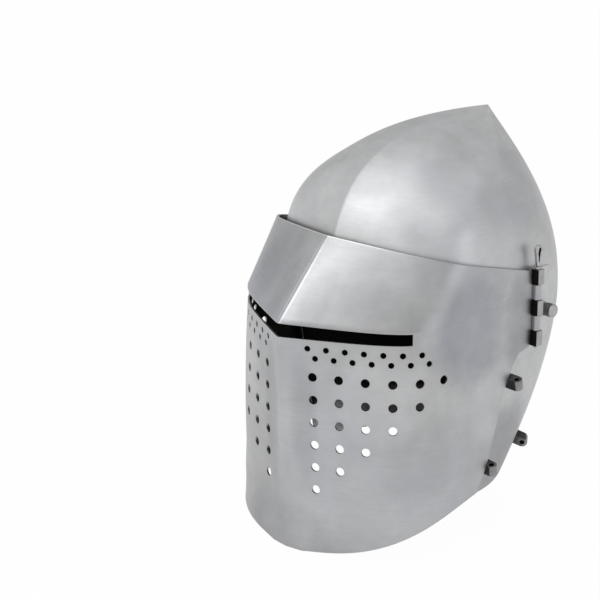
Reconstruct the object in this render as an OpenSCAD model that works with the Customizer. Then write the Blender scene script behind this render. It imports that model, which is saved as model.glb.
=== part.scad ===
// Visored bascinet: a pointed skull, a hinged visor with breaths, and a quilted cap inside.
// The helmet faces -Y, +X is the wearer's left, and Z is 0 at the lowest edge of the visor.

/* [Plate] */
// Thickness of the skull plate
skull_t = 1.8; // [1.2:0.1:2.4]
// Thickness of the visor plate
visor_t = 1.8; // [1.2:0.1:2.2]

/* [Skull] */
// Half width of the skull at its widest level
skull_half_w = 104; // [100:0.1:104.1]
// Foremost point of the brow ridge at the widest level
skull_front_y = -88.5; // [-90:0.5:-80]
// Rearmost point of the skull
skull_back_y = 148; // [135:0.5:155]
// Y of the widest place of the skull
skull_wide_y = 9.5; // [5:0.5:20]
// Height of the widest level, which is also the height of the pivots
wide_z = 185.5; // [180:0.5:188]
// Y of the point of the skull
apex_y = 107; // [95:1:120]
// Height of the point of the skull
apex_z = 336.5; // [330:0.5:345]
// Share of the front half taken by the sharp ridge
skull_crease = 0.28; // [0.1:0.01:0.35]
// Height of the neck edge
neck_z = 35.5; // [25:0.5:60]
// Half width of the neck edge
neck_half_w = 92.5; // [85:0.5:96]
// Rearmost point of the neck edge
neck_back_y = 101.5; // [90:0.5:125]
// Height of the brow edge of the face opening
brow_z = 226; // [215:1:235]
// Angle from straight ahead at which the cheek edge starts to fall
cheek_start = 58; // [50:1:62]
// Angle from straight ahead at which the cheek edge reaches the neck
cheek_end = 76; // [70:1:80]

/* [Visor] */
// Gap between the skull and the visor's sides
visor_gap = 1.2; // [1:0.1:1.5]
// Nose of the visor at the slit
visor_nose_y = -147.5; // [-155:0.5:-145]
// Y of the visor's top edge at the centre
visor_top_y = -91; // [-93:0.5:-90]
// Height of the visor's top edge at the centre
visor_top_z = 261; // [259:0.5:262]
// Fall of the top edge for each unit of Y, from front to back
visor_top_fall = 0.274; // [0.25:0.002:0.3]
// Nose of the visor at the chin before the lip turns out
chin_y = -134; // [-140:0.5:-125]
// How much each side of the visor comes in from the slit to the chin
chin_in = 9; // [5:0.1:11]
// How far the chin lip turns out
lip_out = 5; // [1:0.5:8]
// Height over which the chin lip turns out
lip_h = 45; // [30:1:60]
// Height of the lowest rear corner of the visor
cheek_z = 41.5; // [35:0.5:50]
// Y of the lowest rear corner of the visor
cheek_y = -15; // [-25:0.5:-5]

/* [Eye slit] */
// Height of the lower edge of the slit
slit_z = 187.2; // [183:0.1:190]
// Slit opening at the nose
slit_h = 11.4; // [8:0.1:12]
// Slit opening at its ends
slit_end_h = 9.6; // [7:0.1:11]
// How much higher the slit's lower edge stands at its ends
slit_rise = 0.9; // [0:0.1:1.5]
// Half of the slit's width
slit_half_w = 94.5; // [80:0.5:95]

/* [Breaths] */
// Diameter of the two rows of small breaths
small_breath_d = 4.9; // [3:0.1:6]
// Diameter of the large breaths
large_breath_d = 7.4; // [5:0.1:9]
// Small breaths in each of the two rows, on each side
small_breaths = 7; // [3:1:7]
// Large breaths in the top row, on each side
large_breaths = 6; // [3:1:6]
// Distance along the plate between small breaths
small_pitch = 15.8; // [12:0.1:16]
// Distance along the plate between large breaths
large_pitch = 22.4; // [16:0.1:23]
// Height of the first row of large breaths
large_top_z = 155.5; // [150:0.5:160]
// Height between the rows of large breaths
large_row_h = 19.7; // [15:0.1:20]

/* [Hinges] */
// Gap between the skull and the arms at the hinge line
arm_gap = 1.1; // [1:0.1:1.5]
// Y of the hinge line
hinge_y = 48; // [47:0.5:50]
// Height of the bottom of the hinge
hinge_z = 158.7; // [157:0.1:160]
// Height of one knuckle
knuckle_h = 13; // [12:0.1:13.4]
// Gap between knuckles
knuckle_gap = 0.4; // [0.3:0.1:0.8]
// Radius of the visor's rolled knuckles
roll_r = 3.5; // [3.2:0.1:3.8]
// Width of the arm's square knuckles
box_w = 8.2; // [7.6:0.1:8.4]
// Diameter of the hinge pin
pin_d = 4; // [3.4:0.1:4.4]
// Height of the ring at the top of the pin
ring_h = 19.5; // [14:0.5:24]
// Width of the ring at the top of the pin
ring_w = 9; // [7:0.5:11]
// Thickness of the flattened ring
ring_t = 3; // [2:0.1:3.8]
// Thickness of the arm plate
arm_t = 2.2; // [1.6:0.1:2.6]
// Angle by which the arm bends in towards the skull
arm_bend = 8; // [4:1:9]

/* [Pivots] */
// Y of the visor's pivots
pivot_y = 65; // [63:0.5:67]
// Diameter of the pivot bolt's shank
bolt_d = 6; // [5:0.1:7]
// Diameter of the bolt's drum head
head_d = 11.5; // [10:0.5:13]
// Length of the bolt's drum head
head_l = 8; // [6:0.5:12]
// Across flats of the nut inside the skull
nut_w = 10; // [9:0.5:12]
// Thickness of the nut
nut_t = 4; // [3:0.5:5]

/* [Vervelles] */
// Length that a vervelle stands out of the skull
verv_l = 14; // [10:0.5:16]
// Width of a vervelle across its hole
verv_w = 9.4; // [7:0.1:10]
// Width of a vervelle along its hole
verv_b = 9.4; // [6:0.1:10]
// Diameter of the hole through a vervelle
verv_hole_d = 4.2; // [3:0.1:5]
// Diameter of the vervelle's rivet shank
rivet_d = 5; // [4:0.1:6]

/* [Liner] */
// Thickness of the quilted cap at the middle of a channel
liner_t = 9; // [5:0.5:14]
// Number of quilted channels round the cap
channels = 20; // [12:2:24]
// Height of the cap's side edges above the pivots
liner_up = 17.5; // [15:0.5:30]
// How far the cap reaches lower at the nape
liner_drop = 42; // [20:1:60]

/* [Hidden] */
$fn = 48;

steel = [0.72, 0.73, 0.74];
dark_steel = [0.50, 0.50, 0.51];
linen = [0.78, 0.72, 0.60];

// Half width of the visor at the slit and at the chin before the lip turns out
visor_half_w = skull_half_w + visor_gap + visor_t;
chin_half_w = visor_half_w - chin_in;
// X of the hinge line
hinge_x = skull_half_w + arm_gap + roll_r;
// Height of the cap's lower edge at the sides
liner_z = wide_z + liner_up;

// Radial running clearance of pins and bolts
run = 0.06;
// Clearance between a stud's seat and the curved plate
seat = 0.4;
// Depth by which cuts run past the faces that they cut
over = 1;

// Exponents of the skull's outline and profiles, which set how full it is
front_full = 4.1;
back_full = 2.42;
neck_full = 1.7;
neck_taper = 1.68;
neck_wide_y = -6;
neck_front_y = -60;
ridge_p = 3.25;
ridge_q = 0.308;
side_p = 4.5;
side_q = 0.88;
nape_p = 1.49;
nape_q = 1.59;
ridge_reach = 5.8;
nape_reach = 1.46;

function blend(a, b, k) = a + (b - a) * k;
function clamp(k) = min(1, max(0, k));
function smooth(k) = let (c = clamp(k)) c * c * (3 - 2 * c);
function circle_r(phi, n) = pow(pow(abs(sin(phi)), n) + pow(abs(cos(phi)), n), -1 / n);

// Superellipse outline with a sharp ridge in front: [x, y, reach towards front or back]
function outline(phi, w, wide, front, back, crease, nf, nb) =
    let (n = cos(phi) >= 0 ? nf : nb,
        r = circle_r(phi, n),
        s = abs(sin(phi)) * r,
        e = abs(cos(phi)) * r,
        y = cos(phi) >= 0
            ? wide - (wide - front) * ((1 - crease) * e + crease * (1 - s))
            : wide + (back - wide) * e)
    [w * s * sign(sin(phi)), y, e];

// Point of the skull at an angle from the front and a height, set in by a distance
function skull_point(phi, z, inset) =
    let (b = outline(phi, skull_half_w - inset, skull_wide_y, skull_front_y + inset,
            skull_back_y - inset, skull_crease, front_full, back_full),
        top = apex_z - tip_share * inset,
        h = clamp((z - wide_z) / (top - wide_z)),
        fore = cos(phi) >= 0 ? pow(b[2], ridge_reach) : 0,
        aft = cos(phi) >= 0 ? 0 : pow(b[2], nape_reach),
        p = side_p + (ridge_p - side_p) * fore + (nape_p - side_p) * aft,
        q = side_q + (ridge_q - side_q) * fore + (nape_q - side_q) * aft,
        g = pow(max(0, 1 - pow(h, p)), q),
        n = outline(phi, neck_half_w - inset, neck_wide_y, neck_front_y,
            neck_back_y - inset, skull_crease, neck_full, neck_full),
        k = pow(clamp((wide_z - z) / (wide_z - neck_z)), neck_taper))
    z >= wide_z
        ? [b[0] * g, apex_y + (b[1] - apex_y) * g, z]
        : [blend(b[0], n[0], k), blend(b[1], n[1], k), z];

// Unit vector out of the skull
function skull_normal(phi, z) =
    let (a = skull_point(phi + 1, z, 0) - skull_point(phi - 1, z, 0),
        u = skull_point(phi, z + 1, 0) - skull_point(phi, z - 1, 0),
        n = cross(a, u))
    n / norm(n);

// Lower edge of the skull: the brow in front, the neck behind the cheeks
function skull_edge(phi) =
    let (a = abs(phi > 180 ? phi - 360 : phi))
    blend(brow_z - brow_drop * pow(a / cheek_start, 2) * (a < cheek_start ? 1 : 0), neck_z,
        smooth((a - cheek_start) / (cheek_end - cheek_start)));

// Closed sheet between an outer and an inner cap, each a list of rings that ends in a tip
function cap_points(outer, inner, outer_tip, inner_tip) =
    concat([for (ring = outer) each ring], [for (ring = inner) each ring], [outer_tip, inner_tip]);
function cap_faces(n, m) = concat(
    [for (r = [0:m - 2], c = [0:n - 1]) each
        let (a = r * n + c, b = r * n + (c + 1) % n)
        [[a, b, b + n], [a, b + n, a + n]]],
    [for (r = [0:m - 2], c = [0:n - 1]) each
        let (a = n * m + r * n + c, b = n * m + r * n + (c + 1) % n)
        [[a, b + n, b], [a, a + n, b + n]]],
    [for (c = [0:n - 1]) [(m - 1) * n + c, (m - 1) * n + (c + 1) % n, 2 * n * m]],
    [for (c = [0:n - 1]) [(2 * m - 1) * n + c, 2 * n * m + 1, (2 * m - 1) * n + (c + 1) % n]],
    [for (c = [0:n - 1]) each
        let (d = (c + 1) % n)
        [[c, n * m + c, d], [d, n * m + c, n * m + d]]]);

// Drop of the brow edge from the middle to the cheeks
brow_drop = 6;
// Share by which the plate is thicker along Z at the point
tip_share = 1.2;
// Angles of the skull's columns, close together where the cheek edge falls
half_angles = concat([for (i = [0:7]) cheek_start * i / 8],
    [for (i = [0:8]) blend(cheek_start, cheek_end, i / 8)],
    [for (i = [1:13]) blend(cheek_end, 180, i / 14)]);
skull_angles = concat(half_angles, [180],
    [for (i = [len(half_angles) - 1:-1:1]) 360 - half_angles[i]]);
skull_rows = 20;

function skull_ring(row, inset) =
    [for (phi = skull_angles)
        let (low = skull_edge(phi), top = apex_z - tip_share * inset)
        skull_point(phi, blend(low, top, sin(90 * row / skull_rows)), inset)];

module skull_sheet() {
    polyhedron(
        cap_points([for (row = [0:skull_rows - 1]) skull_ring(row, 0)],
            [for (row = [0:skull_rows - 1]) skull_ring(row, skull_t)],
            [0, apex_y, apex_z], [0, apex_y, apex_z - tip_share * skull_t]),
        cap_faces(len(skull_angles), skull_rows));
}

// Places of the vervelles on the left side: angle, height and turn of the hole from upright
verv_places = [[96.8, 131.7, 16], [90.9, 60.4, 12], [139, 54.8, 105], [166.3, 54.8, 105]];

module skull() {
    color(steel)
    difference() {
        skull_sheet();
        for (side = [0, 1]) mirror([side, 0, 0]) {
            translate([0, pivot_y, wide_z])
            rotate([0, 90, 0])
            cylinder(d = bolt_d + 2 * run, h = 2 * skull_half_w);
            for (place = verv_places)
                on_skull(place)
                translate([0, 0, -3 * skull_t])
                cylinder(d = rivet_d + 2 * run, h = 6 * skull_t);
        }
    }
}

// Puts a child on the skull with its Z axis out of the plate
module on_skull(place) {
    p = skull_point(place[0], place[1], 0);
    n = skull_normal(place[0], place[1]);
    translate(p)
    rotate([0, 0, atan2(n[1], n[0])])
    rotate([0, acos(n[2]), 0])
    rotate([0, 0, place[2]])
    children();
}

// Height of the rivet head inside the skull
rivet_head_h = 1.4;

// Local Z is out of the plate, and the hole runs along local X before the turn
module vervelle(place) {
    color(dark_steel)
    on_skull(place)
    union() {
        difference() {
            union() {
                translate([-verv_b / 2, -verv_w / 2, seat])
                cube([verv_b, verv_w, verv_l - verv_w / 2 - seat]);
                translate([-verv_b / 2, 0, verv_l - verv_w / 2])
                rotate([0, 90, 0])
                cylinder(d = verv_w, h = verv_b);
            }
            translate([-verv_b / 2 - over, 0, verv_l - verv_w / 2])
            rotate([0, 90, 0])
            cylinder(d = verv_hole_d, h = verv_b + 2 * over);
        }
        translate([0, 0, -skull_t - 2 * seat])
        cylinder(d = rivet_d, h = skull_t + 3 * seat);
        translate([0, 0, -skull_t - 2 * seat - rivet_head_h])
        cylinder(d1 = rivet_d, d2 = rivet_d + 3, h = rivet_head_h);
    }
}

// Rear edge of the visor as a distance along Y for each height
rear_edge = [[cheek_z, cheek_y], [61, -6], [93, 2.6], [128, 12.3], [147, 21.7], [155.5, 29],
    [158.5, hinge_y - 5], [300, hinge_y - 5]];
// Exponents and ridge shares of the visor's outline at the top, the slit and the chin
top_full = 3.7;
slit_full = 5.6;
chin_full = 3.35;
top_crease = 0.39;
slit_crease = 0.38;
chin_crease = 0.12;
visor_wide_y = -4.5;
flank_taper = 2.4;
// Flat band that holds the slit
band_z0 = slit_z - 1;
band_z1 = slit_z + slit_h + 1;

function plan_y(x, w, wide, front, crease, n) =
    let (s = clamp(abs(x) / w))
    wide - (wide - front) * ((1 - crease) * pow(1 - pow(s, n), 1 / n) + crease * (1 - s));

// Sizes of the visor's outline at a height: [half width, wide y, nose y, crease, exponent, rear y]
function visor_level(z) =
    let (up = clamp((z - band_z1) / (visor_top_z - band_z1)),
        dn = clamp((band_z0 - z) / band_z0),
        lip = lip_out * pow(clamp(1 - z / lip_h), 2),
        rear = lookup(z, rear_edge))
    [visor_half_w + (chin_half_w - visor_half_w) * pow(dn, flank_taper) + lip,
        min(visor_wide_y, rear),
        visor_nose_y + (visor_top_y - visor_nose_y) * up + (chin_y - visor_nose_y) * dn - lip,
        slit_crease + (top_crease - slit_crease) * up + (chin_crease - slit_crease) * dn,
        slit_full + (top_full - slit_full) * up + (chin_full - slit_full) * dn,
        rear];

// Point of the visor's outside: u runs from -1 at the right rear to 1 at the left rear
side_share = 0.16;
function visor_point(u, z) =
    let (v = visor_level(z),
        curve = 1 - side_share * (v[5] - v[1]) / (hinge_y - visor_wide_y),
        phi = 90 * clamp(abs(u) / curve),
        back = curve < 1 ? clamp((abs(u) - curve) / (1 - curve)) : 0,
        o = outline(phi, v[0], v[1], v[2], v[1], v[3], v[4], v[4]))
    [o[0] * sign(u), (phi > 89.9 ? v[1] : o[1]) + back * (v[5] - v[1]), z];
function visor_y(x, z) = let (v = visor_level(z)) plan_y(x, v[0], v[1], v[2], v[3], v[4]);

function top_edge(u, z, steps) =
    steps == 0 ? z
        : top_edge(u, blend(z, visor_top_z - visor_top_fall * (visor_point(u, z)[1] - visor_top_y), 0.6),
            steps - 1);
function low_edge(u, z, steps) =
    steps == 0 ? z
        : low_edge(u, blend(z, cheek_z * pow(clamp((visor_point(u, z)[1] - chin_y + 2.5)
            / (cheek_y - chin_y + 2.5)), 0.76), 0.5), steps - 1);

visor_cols = 44;
// Shares of the height from the low edge to the slit at which the rows of facets lie
low_shares = [0, 0.13, 0.26, 0.39, 0.52, 0.63, 0.73, 0.788, 0.809, 0.9, 1];
low_rows = len(low_shares) - 1;
up_rows = 5;
visor_rows = low_rows + up_rows + 1;
function visor_row_z(u, row) =
    row <= low_rows
        ? blend(low_edge(u, 15, 8), band_z0, low_shares[row])
        : blend(band_z1, top_edge(u, 240, 8), (row - low_rows - 1) / up_rows);
function col_u(col) = 2 * col / visor_cols - 1;

visor_grid = [for (row = [0:visor_rows]) [for (col = [0:visor_cols])
    visor_point(col_u(col), visor_row_z(col_u(col), row))]];

function grid_normal(g, row, col) =
    let (a = g[row][min(visor_cols, col + 1)] - g[row][max(0, col - 1)],
        u = g[min(visor_rows, row + 1)][col] - g[max(0, row - 1)][col],
        n = cross(a, u))
    n / norm(n);
visor_inner = [for (row = [0:visor_rows]) [for (col = [0:visor_cols])
    visor_grid[row][col] - visor_t * grid_normal(visor_grid, row, col)]];

// Closed sheet between two open grids of rows and columns
function sheet_faces(rows, cols) =
    let (w = cols + 1, half = (rows + 1) * w)
    concat(
        [for (r = [0:rows - 1], c = [0:cols - 1]) each
            let (a = r * w + c) [[a, a + w + 1, a + 1], [a, a + w, a + w + 1]]],
        [for (r = [0:rows - 1], c = [0:cols - 1]) each
            let (a = half + r * w + c) [[a, a + 1, a + w + 1], [a, a + w + 1, a + w]]],
        [for (c = [0:cols - 1]) each
            let (a = c, b = rows * w + c)
            [[a, a + 1, half + a], [a + 1, half + a + 1, half + a],
                [b, half + b, b + 1], [b + 1, half + b, half + b + 1]]],
        [for (r = [0:rows - 1]) each
            let (a = r * w, b = r * w + cols)
            [[a, half + a, a + w], [a + w, half + a, half + a + w],
                [b, b + w, half + b], [b + w, half + b + w, half + b]]]);

module visor_sheet() {
    polyhedron([for (g = [visor_grid, visor_inner]) for (ring = g) each ring],
        sheet_faces(visor_rows, visor_cols));
}

// X at a distance measured along the plate from the nose
function walk(z, left, x = 0) =
    left <= 0 ? x : walk(z, left - norm([1, visor_y(x + 1, z) - visor_y(x, z)]), x + 1);

// Round cut through the visor, square to the plate, at a distance along it and a height
module breath(along, z, d) {
    x = walk(z, along);
    y = visor_y(x, z);
    slope_x = (visor_y(x + 1, z) - visor_y(x - 1, z)) / 2;
    slope_z = (visor_y(x, z + 1) - visor_y(x, z - 1)) / 2;
    n = [slope_x, -1, slope_z];
    translate([x, y, z])
    rotate([0, 0, atan2(n[1], n[0])])
    rotate([0, acos(n[2] / norm(n)), 0])
    translate([0, 0, -3 * visor_t])
    cylinder(d = d, h = 5 * visor_t);
}

// Heights of the two small rows and distances of the first breaths from the nose
small_top_z = 179.8;
small_row_h = 8;
small_first = 25;
large_first = 28.5;

module breaths() {
    for (row = [0, 1], i = [0:small_breaths - 1])
        breath(small_first + (i + row * 0.4) * small_pitch, small_top_z - row * small_row_h,
            small_breath_d);
    for (row = [0:large_breaths - 1], i = [0:large_breaths - 1 - row])
        breath(large_first + i * large_pitch, large_top_z - row * large_row_h, large_breath_d);
}

// How far the cut of the slit reaches behind and before the nose
slit_deep = 80;
slit_ahead = 20;

module slit() {
    end_z = slit_z + slit_rise;
    translate([0, visor_nose_y + slit_deep, 0])
    rotate([90, 0, 0])
    linear_extrude(slit_deep + slit_ahead)
    polygon([[-slit_half_w, end_z], [0, slit_z], [slit_half_w, end_z],
        [slit_half_w, end_z + slit_end_h], [0, slit_z + slit_h], [-slit_half_w, end_z + slit_end_h]]);
}

knuckle_step = knuckle_h + knuckle_gap;
hinge_h = 5 * knuckle_h + 4 * knuckle_gap;
strap_x = hinge_x - roll_r;
// Length of the strip that ties a rolled knuckle to the plate
strap_l = 8;

module knuckle_bore() {
    translate([hinge_x, hinge_y, hinge_z - over])
    cylinder(d = pin_d + 2 * run, h = hinge_h + 2 * over);
}

// Two knuckles rolled from the visor plate, on the left side
module visor_knuckles() {
    for (i = [1, 3]) translate([0, 0, hinge_z + i * knuckle_step]) {
        translate([hinge_x, hinge_y, 0]) cylinder(r = roll_r, h = knuckle_h);
        translate([strap_x, hinge_y - strap_l, 0]) cube([visor_t, strap_l, knuckle_h]);
    }
}

module visor() {
    color(steel)
    difference() {
        union() {
            difference() {
                visor_sheet();
                slit();
                for (side = [0, 1]) mirror([side, 0, 0]) breaths();
            }
            for (side = [0, 1]) mirror([side, 0, 0]) visor_knuckles();
        }
        for (side = [0, 1]) mirror([side, 0, 0]) knuckle_bore();
    }
}

// Arm on the left side: a plate that lies over the skull, with three square knuckles
arm_low_z = hinge_z + 2;
arm_high_z = hinge_z + hinge_h - 1;
arm_back = 34;
arm_start = 4.6;

// Outline of the arm plate in (distance behind the hinge, height)
function arm_outline() =
    let (c = 20, mid = wide_z + 9)
    concat([[arm_start, arm_low_z], [arm_start, arm_high_z]],
        [for (i = [0:9]) [blend(arm_start + 12, arm_back, sin(i * 10)),
            blend(mid, arm_high_z, cos(i * 10))]],
        [for (i = [1:9]) [blend(arm_start + 5, arm_back, cos(i * 10)),
            blend(mid, arm_low_z, sin(i * 10))]]);

module left_hinge_arm() {
    color(dark_steel)
    difference() {
        union() {
            translate([strap_x, hinge_y, 0])
            rotate([0, 0, arm_bend])
            rotate([90, 0, 90])
            linear_extrude(arm_t)
            polygon(arm_outline());
            for (i = [0, 2, 4]) translate([0, 0, hinge_z + i * knuckle_step]) {
                translate([hinge_x - box_w / 2, hinge_y - box_w / 2, 0])
                cube([box_w, box_w, knuckle_h]);
                translate([strap_x, hinge_y, 0])
                rotate([0, 0, arm_bend])
                cube([arm_t, arm_start + 2, knuckle_h - (i == 4 ? 1 : 0)]);
            }
        }
        knuckle_bore();
        translate([0, pivot_y, wide_z])
        rotate([0, 90, 0])
        cylinder(d = bolt_d + 2 * run, h = 2 * skull_half_w);
    }
}

// Pin of the left hinge: it lifts out by its ring
module left_hinge_pin() {
    top = hinge_z + hinge_h + 0.3;
    color(dark_steel)
    translate([hinge_x, hinge_y, 0])
    union() {
        translate([0, 0, hinge_z - 2.5]) cylinder(d1 = pin_d - 1, d2 = pin_d, h = 1);
        translate([0, 0, hinge_z - 1.5]) cylinder(d = pin_d, h = hinge_h + 1.5 + 0.3);
        translate([0, 0, top]) cylinder(d = pin_d + 1.6, h = 1.6);
        translate([-ring_t / 2, 0, top + 1])
        rotate([90, 0, 90])
        linear_extrude(ring_t)
        difference() {
            union() {
                translate([0, ring_h - ring_w / 2]) circle(d = ring_w);
                polygon([[-pin_d / 2, 0], [pin_d / 2, 0], [ring_w / 2, ring_h - ring_w / 2],
                    [-ring_w / 2, ring_h - ring_w / 2]]);
            }
            translate([0, ring_h - ring_w / 2]) circle(d = ring_w - 4.4);
            translate([0, ring_h - ring_w / 2 - 4.5]) circle(d = ring_w - 5.6);
            polygon([[-(ring_w - 5.6) / 2, ring_h - ring_w / 2 - 4.5],
                [(ring_w - 5.6) / 2, ring_h - ring_w / 2 - 4.5],
                [(ring_w - 4.4) / 2, ring_h - ring_w / 2],
                [-(ring_w - 4.4) / 2, ring_h - ring_w / 2]]);
        }
    }
}

// Outer face of the arm at the pivot, and the skull's surface there
pivot_reach = pivot_y - hinge_y;
arm_out_x = strap_x + arm_t / cos(arm_bend) - (pivot_reach - head_d / 2) * tan(arm_bend);
arm_in_x = strap_x - (pivot_reach + head_d / 2) * tan(arm_bend);

function skull_angle_at(y, low = 90, high = 180, steps = 20) =
    steps == 0 ? low
        : let (mid = (low + high) / 2)
            skull_point(mid, wide_z, 0)[1] < y
                ? skull_angle_at(y, mid, high, steps - 1)
                : skull_angle_at(y, low, mid, steps - 1);
pivot_phi = skull_angle_at(pivot_y);
pivot_p = skull_point(pivot_phi, wide_z, 0);
pivot_n = skull_normal(pivot_phi, wide_z);
pivot_slope = atan2(pivot_n[1], pivot_n[0]);

// Slab square to the skull at the pivot, from one depth to another, to cut seats with
module pivot_slab(from, to) {
    translate(pivot_p)
    rotate([0, 0, pivot_slope])
    translate([from, -40, -40])
    cube([to - from, 80, 80]);
}

module left_pivot_bolt() {
    groove = 1;
    tail = pivot_p[0] - skull_t - nut_t - 5;
    color(dark_steel)
    translate([0, pivot_y, wide_z])
    rotate([0, 90, 0])
    rotate_extrude()
    polygon([[0, tail], [bolt_d / 2 - 0.5, tail], [bolt_d / 2, tail + 0.5],
        [bolt_d / 2, arm_out_x + 0.1], [head_d / 2, arm_out_x + 0.1],
        [head_d / 2, arm_out_x + head_l * 0.6],
        [head_d / 2 - groove, arm_out_x + head_l * 0.6 + groove / 2],
        [head_d / 2, arm_out_x + head_l * 0.6 + groove],
        [head_d / 2, arm_out_x + head_l - groove],
        [head_d / 2 - groove, arm_out_x + head_l], [0, arm_out_x + head_l]]);
}

// Tapered washer that fills the wedge between the skull and the arm
module left_pivot_washer() {
    color(dark_steel)
    difference() {
        translate([pivot_p[0] - 8, pivot_y, wide_z])
        rotate([0, 90, 0])
        cylinder(d = head_d, h = arm_in_x - 0.1 - pivot_p[0] + 8);
        translate([0, pivot_y, wide_z])
        rotate([0, 90, 0])
        cylinder(d = bolt_d + 2 * run, h = 2 * skull_half_w);
        pivot_slab(-30, seat);
    }
}

// Six-sided nut whose seat is cut to the slope of the skull inside
nut_seat = 0.7;
module left_pivot_nut() {
    color(dark_steel)
    difference() {
        translate([pivot_p[0] - skull_t - nut_t - 3, pivot_y, wide_z])
        rotate([0, 90, 0])
        cylinder(d = nut_w / cos(30), h = nut_t + 3, $fn = 6);
        translate([0, pivot_y, wide_z])
        rotate([0, 90, 0])
        cylinder(d = bolt_d + 2 * run, h = 2 * skull_half_w);
        pivot_slab(-skull_t - nut_seat, 30);
    }
}

// Quilted cap: its inner face swells between the lines of stitching
liner_rows = 9;
liner_gap = 0.9;
// How much higher the lower edge stands at the brow
liner_rise = 26;
// Thickness at the stitching and at the lower edge, as shares of the full thickness
stitch_share = 0.45;
hem_share = 0.6;
function liner_low(phi) =
    liner_z + liner_rise * pow(max(0, cos(phi)), 2) - liner_drop * pow(max(0, -cos(phi)), 2);
function liner_point(phi, row, inset) =
    let (top = apex_z - tip_share * inset)
    skull_point(phi, blend(liner_low(phi), top, sin(90 * row / liner_rows)), inset);
function channel_t(phi, row) =
    liner_t * blend(stitch_share, 1, abs(sin(phi * channels / 2))) * (row == 0 ? hem_share : 1);
liner_cols = channels * 3;

module liner() {
    inset = skull_t + liner_gap;
    color(linen)
    polyhedron(
        cap_points(
            [for (row = [0:liner_rows - 1]) [for (c = [0:liner_cols - 1])
                liner_point(360 * c / liner_cols, row, inset)]],
            [for (row = [0:liner_rows - 1]) [for (c = [0:liner_cols - 1])
                let (phi = 360 * c / liner_cols)
                liner_point(phi, row, inset + channel_t(phi, row))]],
            [0, apex_y, apex_z - tip_share * inset], [0, apex_y, apex_z - tip_share * (inset + liner_t)]),
        cap_faces(liner_cols, liner_rows));
}

module right() {
    mirror([1, 0, 0]) children();
}

skull();
visor();
liner();
left_hinge_arm();
right() left_hinge_arm();  // right_hinge_arm
left_hinge_pin();
right() left_hinge_pin();  // right_hinge_pin
left_pivot_bolt();
right() left_pivot_bolt();  // right_pivot_bolt
left_pivot_washer();
right() left_pivot_washer();  // right_pivot_washer
left_pivot_nut();
right() left_pivot_nut();  // right_pivot_nut
vervelle(verv_places[0]);  // left_vervelle_1
vervelle(verv_places[1]);  // left_vervelle_2
vervelle(verv_places[2]);  // left_vervelle_3
vervelle(verv_places[3]);  // left_vervelle_4
right() vervelle(verv_places[0]);  // right_vervelle_1
right() vervelle(verv_places[1]);  // right_vervelle_2
right() vervelle(verv_places[2]);  // right_vervelle_3
right() vervelle(verv_places[3]);  // right_vervelle_4
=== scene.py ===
"""A visored bascinet: a pointed skull, a visor with breaths on pull-out hinges, and a quilted cap."""

import math

import bmesh
import bpy
import numpy as np
from bpy.props import FloatProperty, FloatVectorProperty, IntProperty, PointerProperty
from mathutils import Matrix, Vector, geometry


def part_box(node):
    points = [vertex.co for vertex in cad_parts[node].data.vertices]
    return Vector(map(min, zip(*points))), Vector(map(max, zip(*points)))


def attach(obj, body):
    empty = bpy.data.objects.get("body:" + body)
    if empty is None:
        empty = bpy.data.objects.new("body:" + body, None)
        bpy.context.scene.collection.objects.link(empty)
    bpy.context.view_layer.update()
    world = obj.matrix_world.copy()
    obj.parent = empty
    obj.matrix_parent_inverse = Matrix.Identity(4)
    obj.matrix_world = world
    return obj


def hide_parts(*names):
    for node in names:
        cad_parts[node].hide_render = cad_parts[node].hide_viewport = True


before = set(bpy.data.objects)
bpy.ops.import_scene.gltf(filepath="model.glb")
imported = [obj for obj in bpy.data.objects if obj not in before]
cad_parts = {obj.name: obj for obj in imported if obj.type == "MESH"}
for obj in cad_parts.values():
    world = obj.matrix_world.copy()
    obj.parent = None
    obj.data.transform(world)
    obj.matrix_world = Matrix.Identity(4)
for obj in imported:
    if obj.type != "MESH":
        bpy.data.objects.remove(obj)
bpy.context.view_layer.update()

bl_info = {
    "name": "Visored bascinet",
    "version": (1, 0, 0),
    "blender": (4, 5, 0),
    "location": "View3D > Sidebar > Bascinet",
    "description": "Dresses the packed bascinet in smooth plates, fittings and a quilted cap",
    "category": "Object",
}

MM = 0.001


def length(name, mm, description):
    return FloatProperty(name=name, description=description, default=mm * MM, unit="LENGTH", precision=4)


def factor(name, value, description):
    return FloatProperty(name=name, description=description, default=value)


def number(name, value, description):
    return IntProperty(name=name, description=description, default=value)


def colour(name, value, description):
    return FloatVectorProperty(
        name=name, description=description, default=value, subtype="COLOR", size=3, min=0.0, max=1.0
    )


def add_object(name, data):
    """Links a new object that holds the data to the scene"""
    thing = bpy.data.objects.new(name, data)
    bpy.context.scene.collection.objects.link(thing)
    return thing


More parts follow.
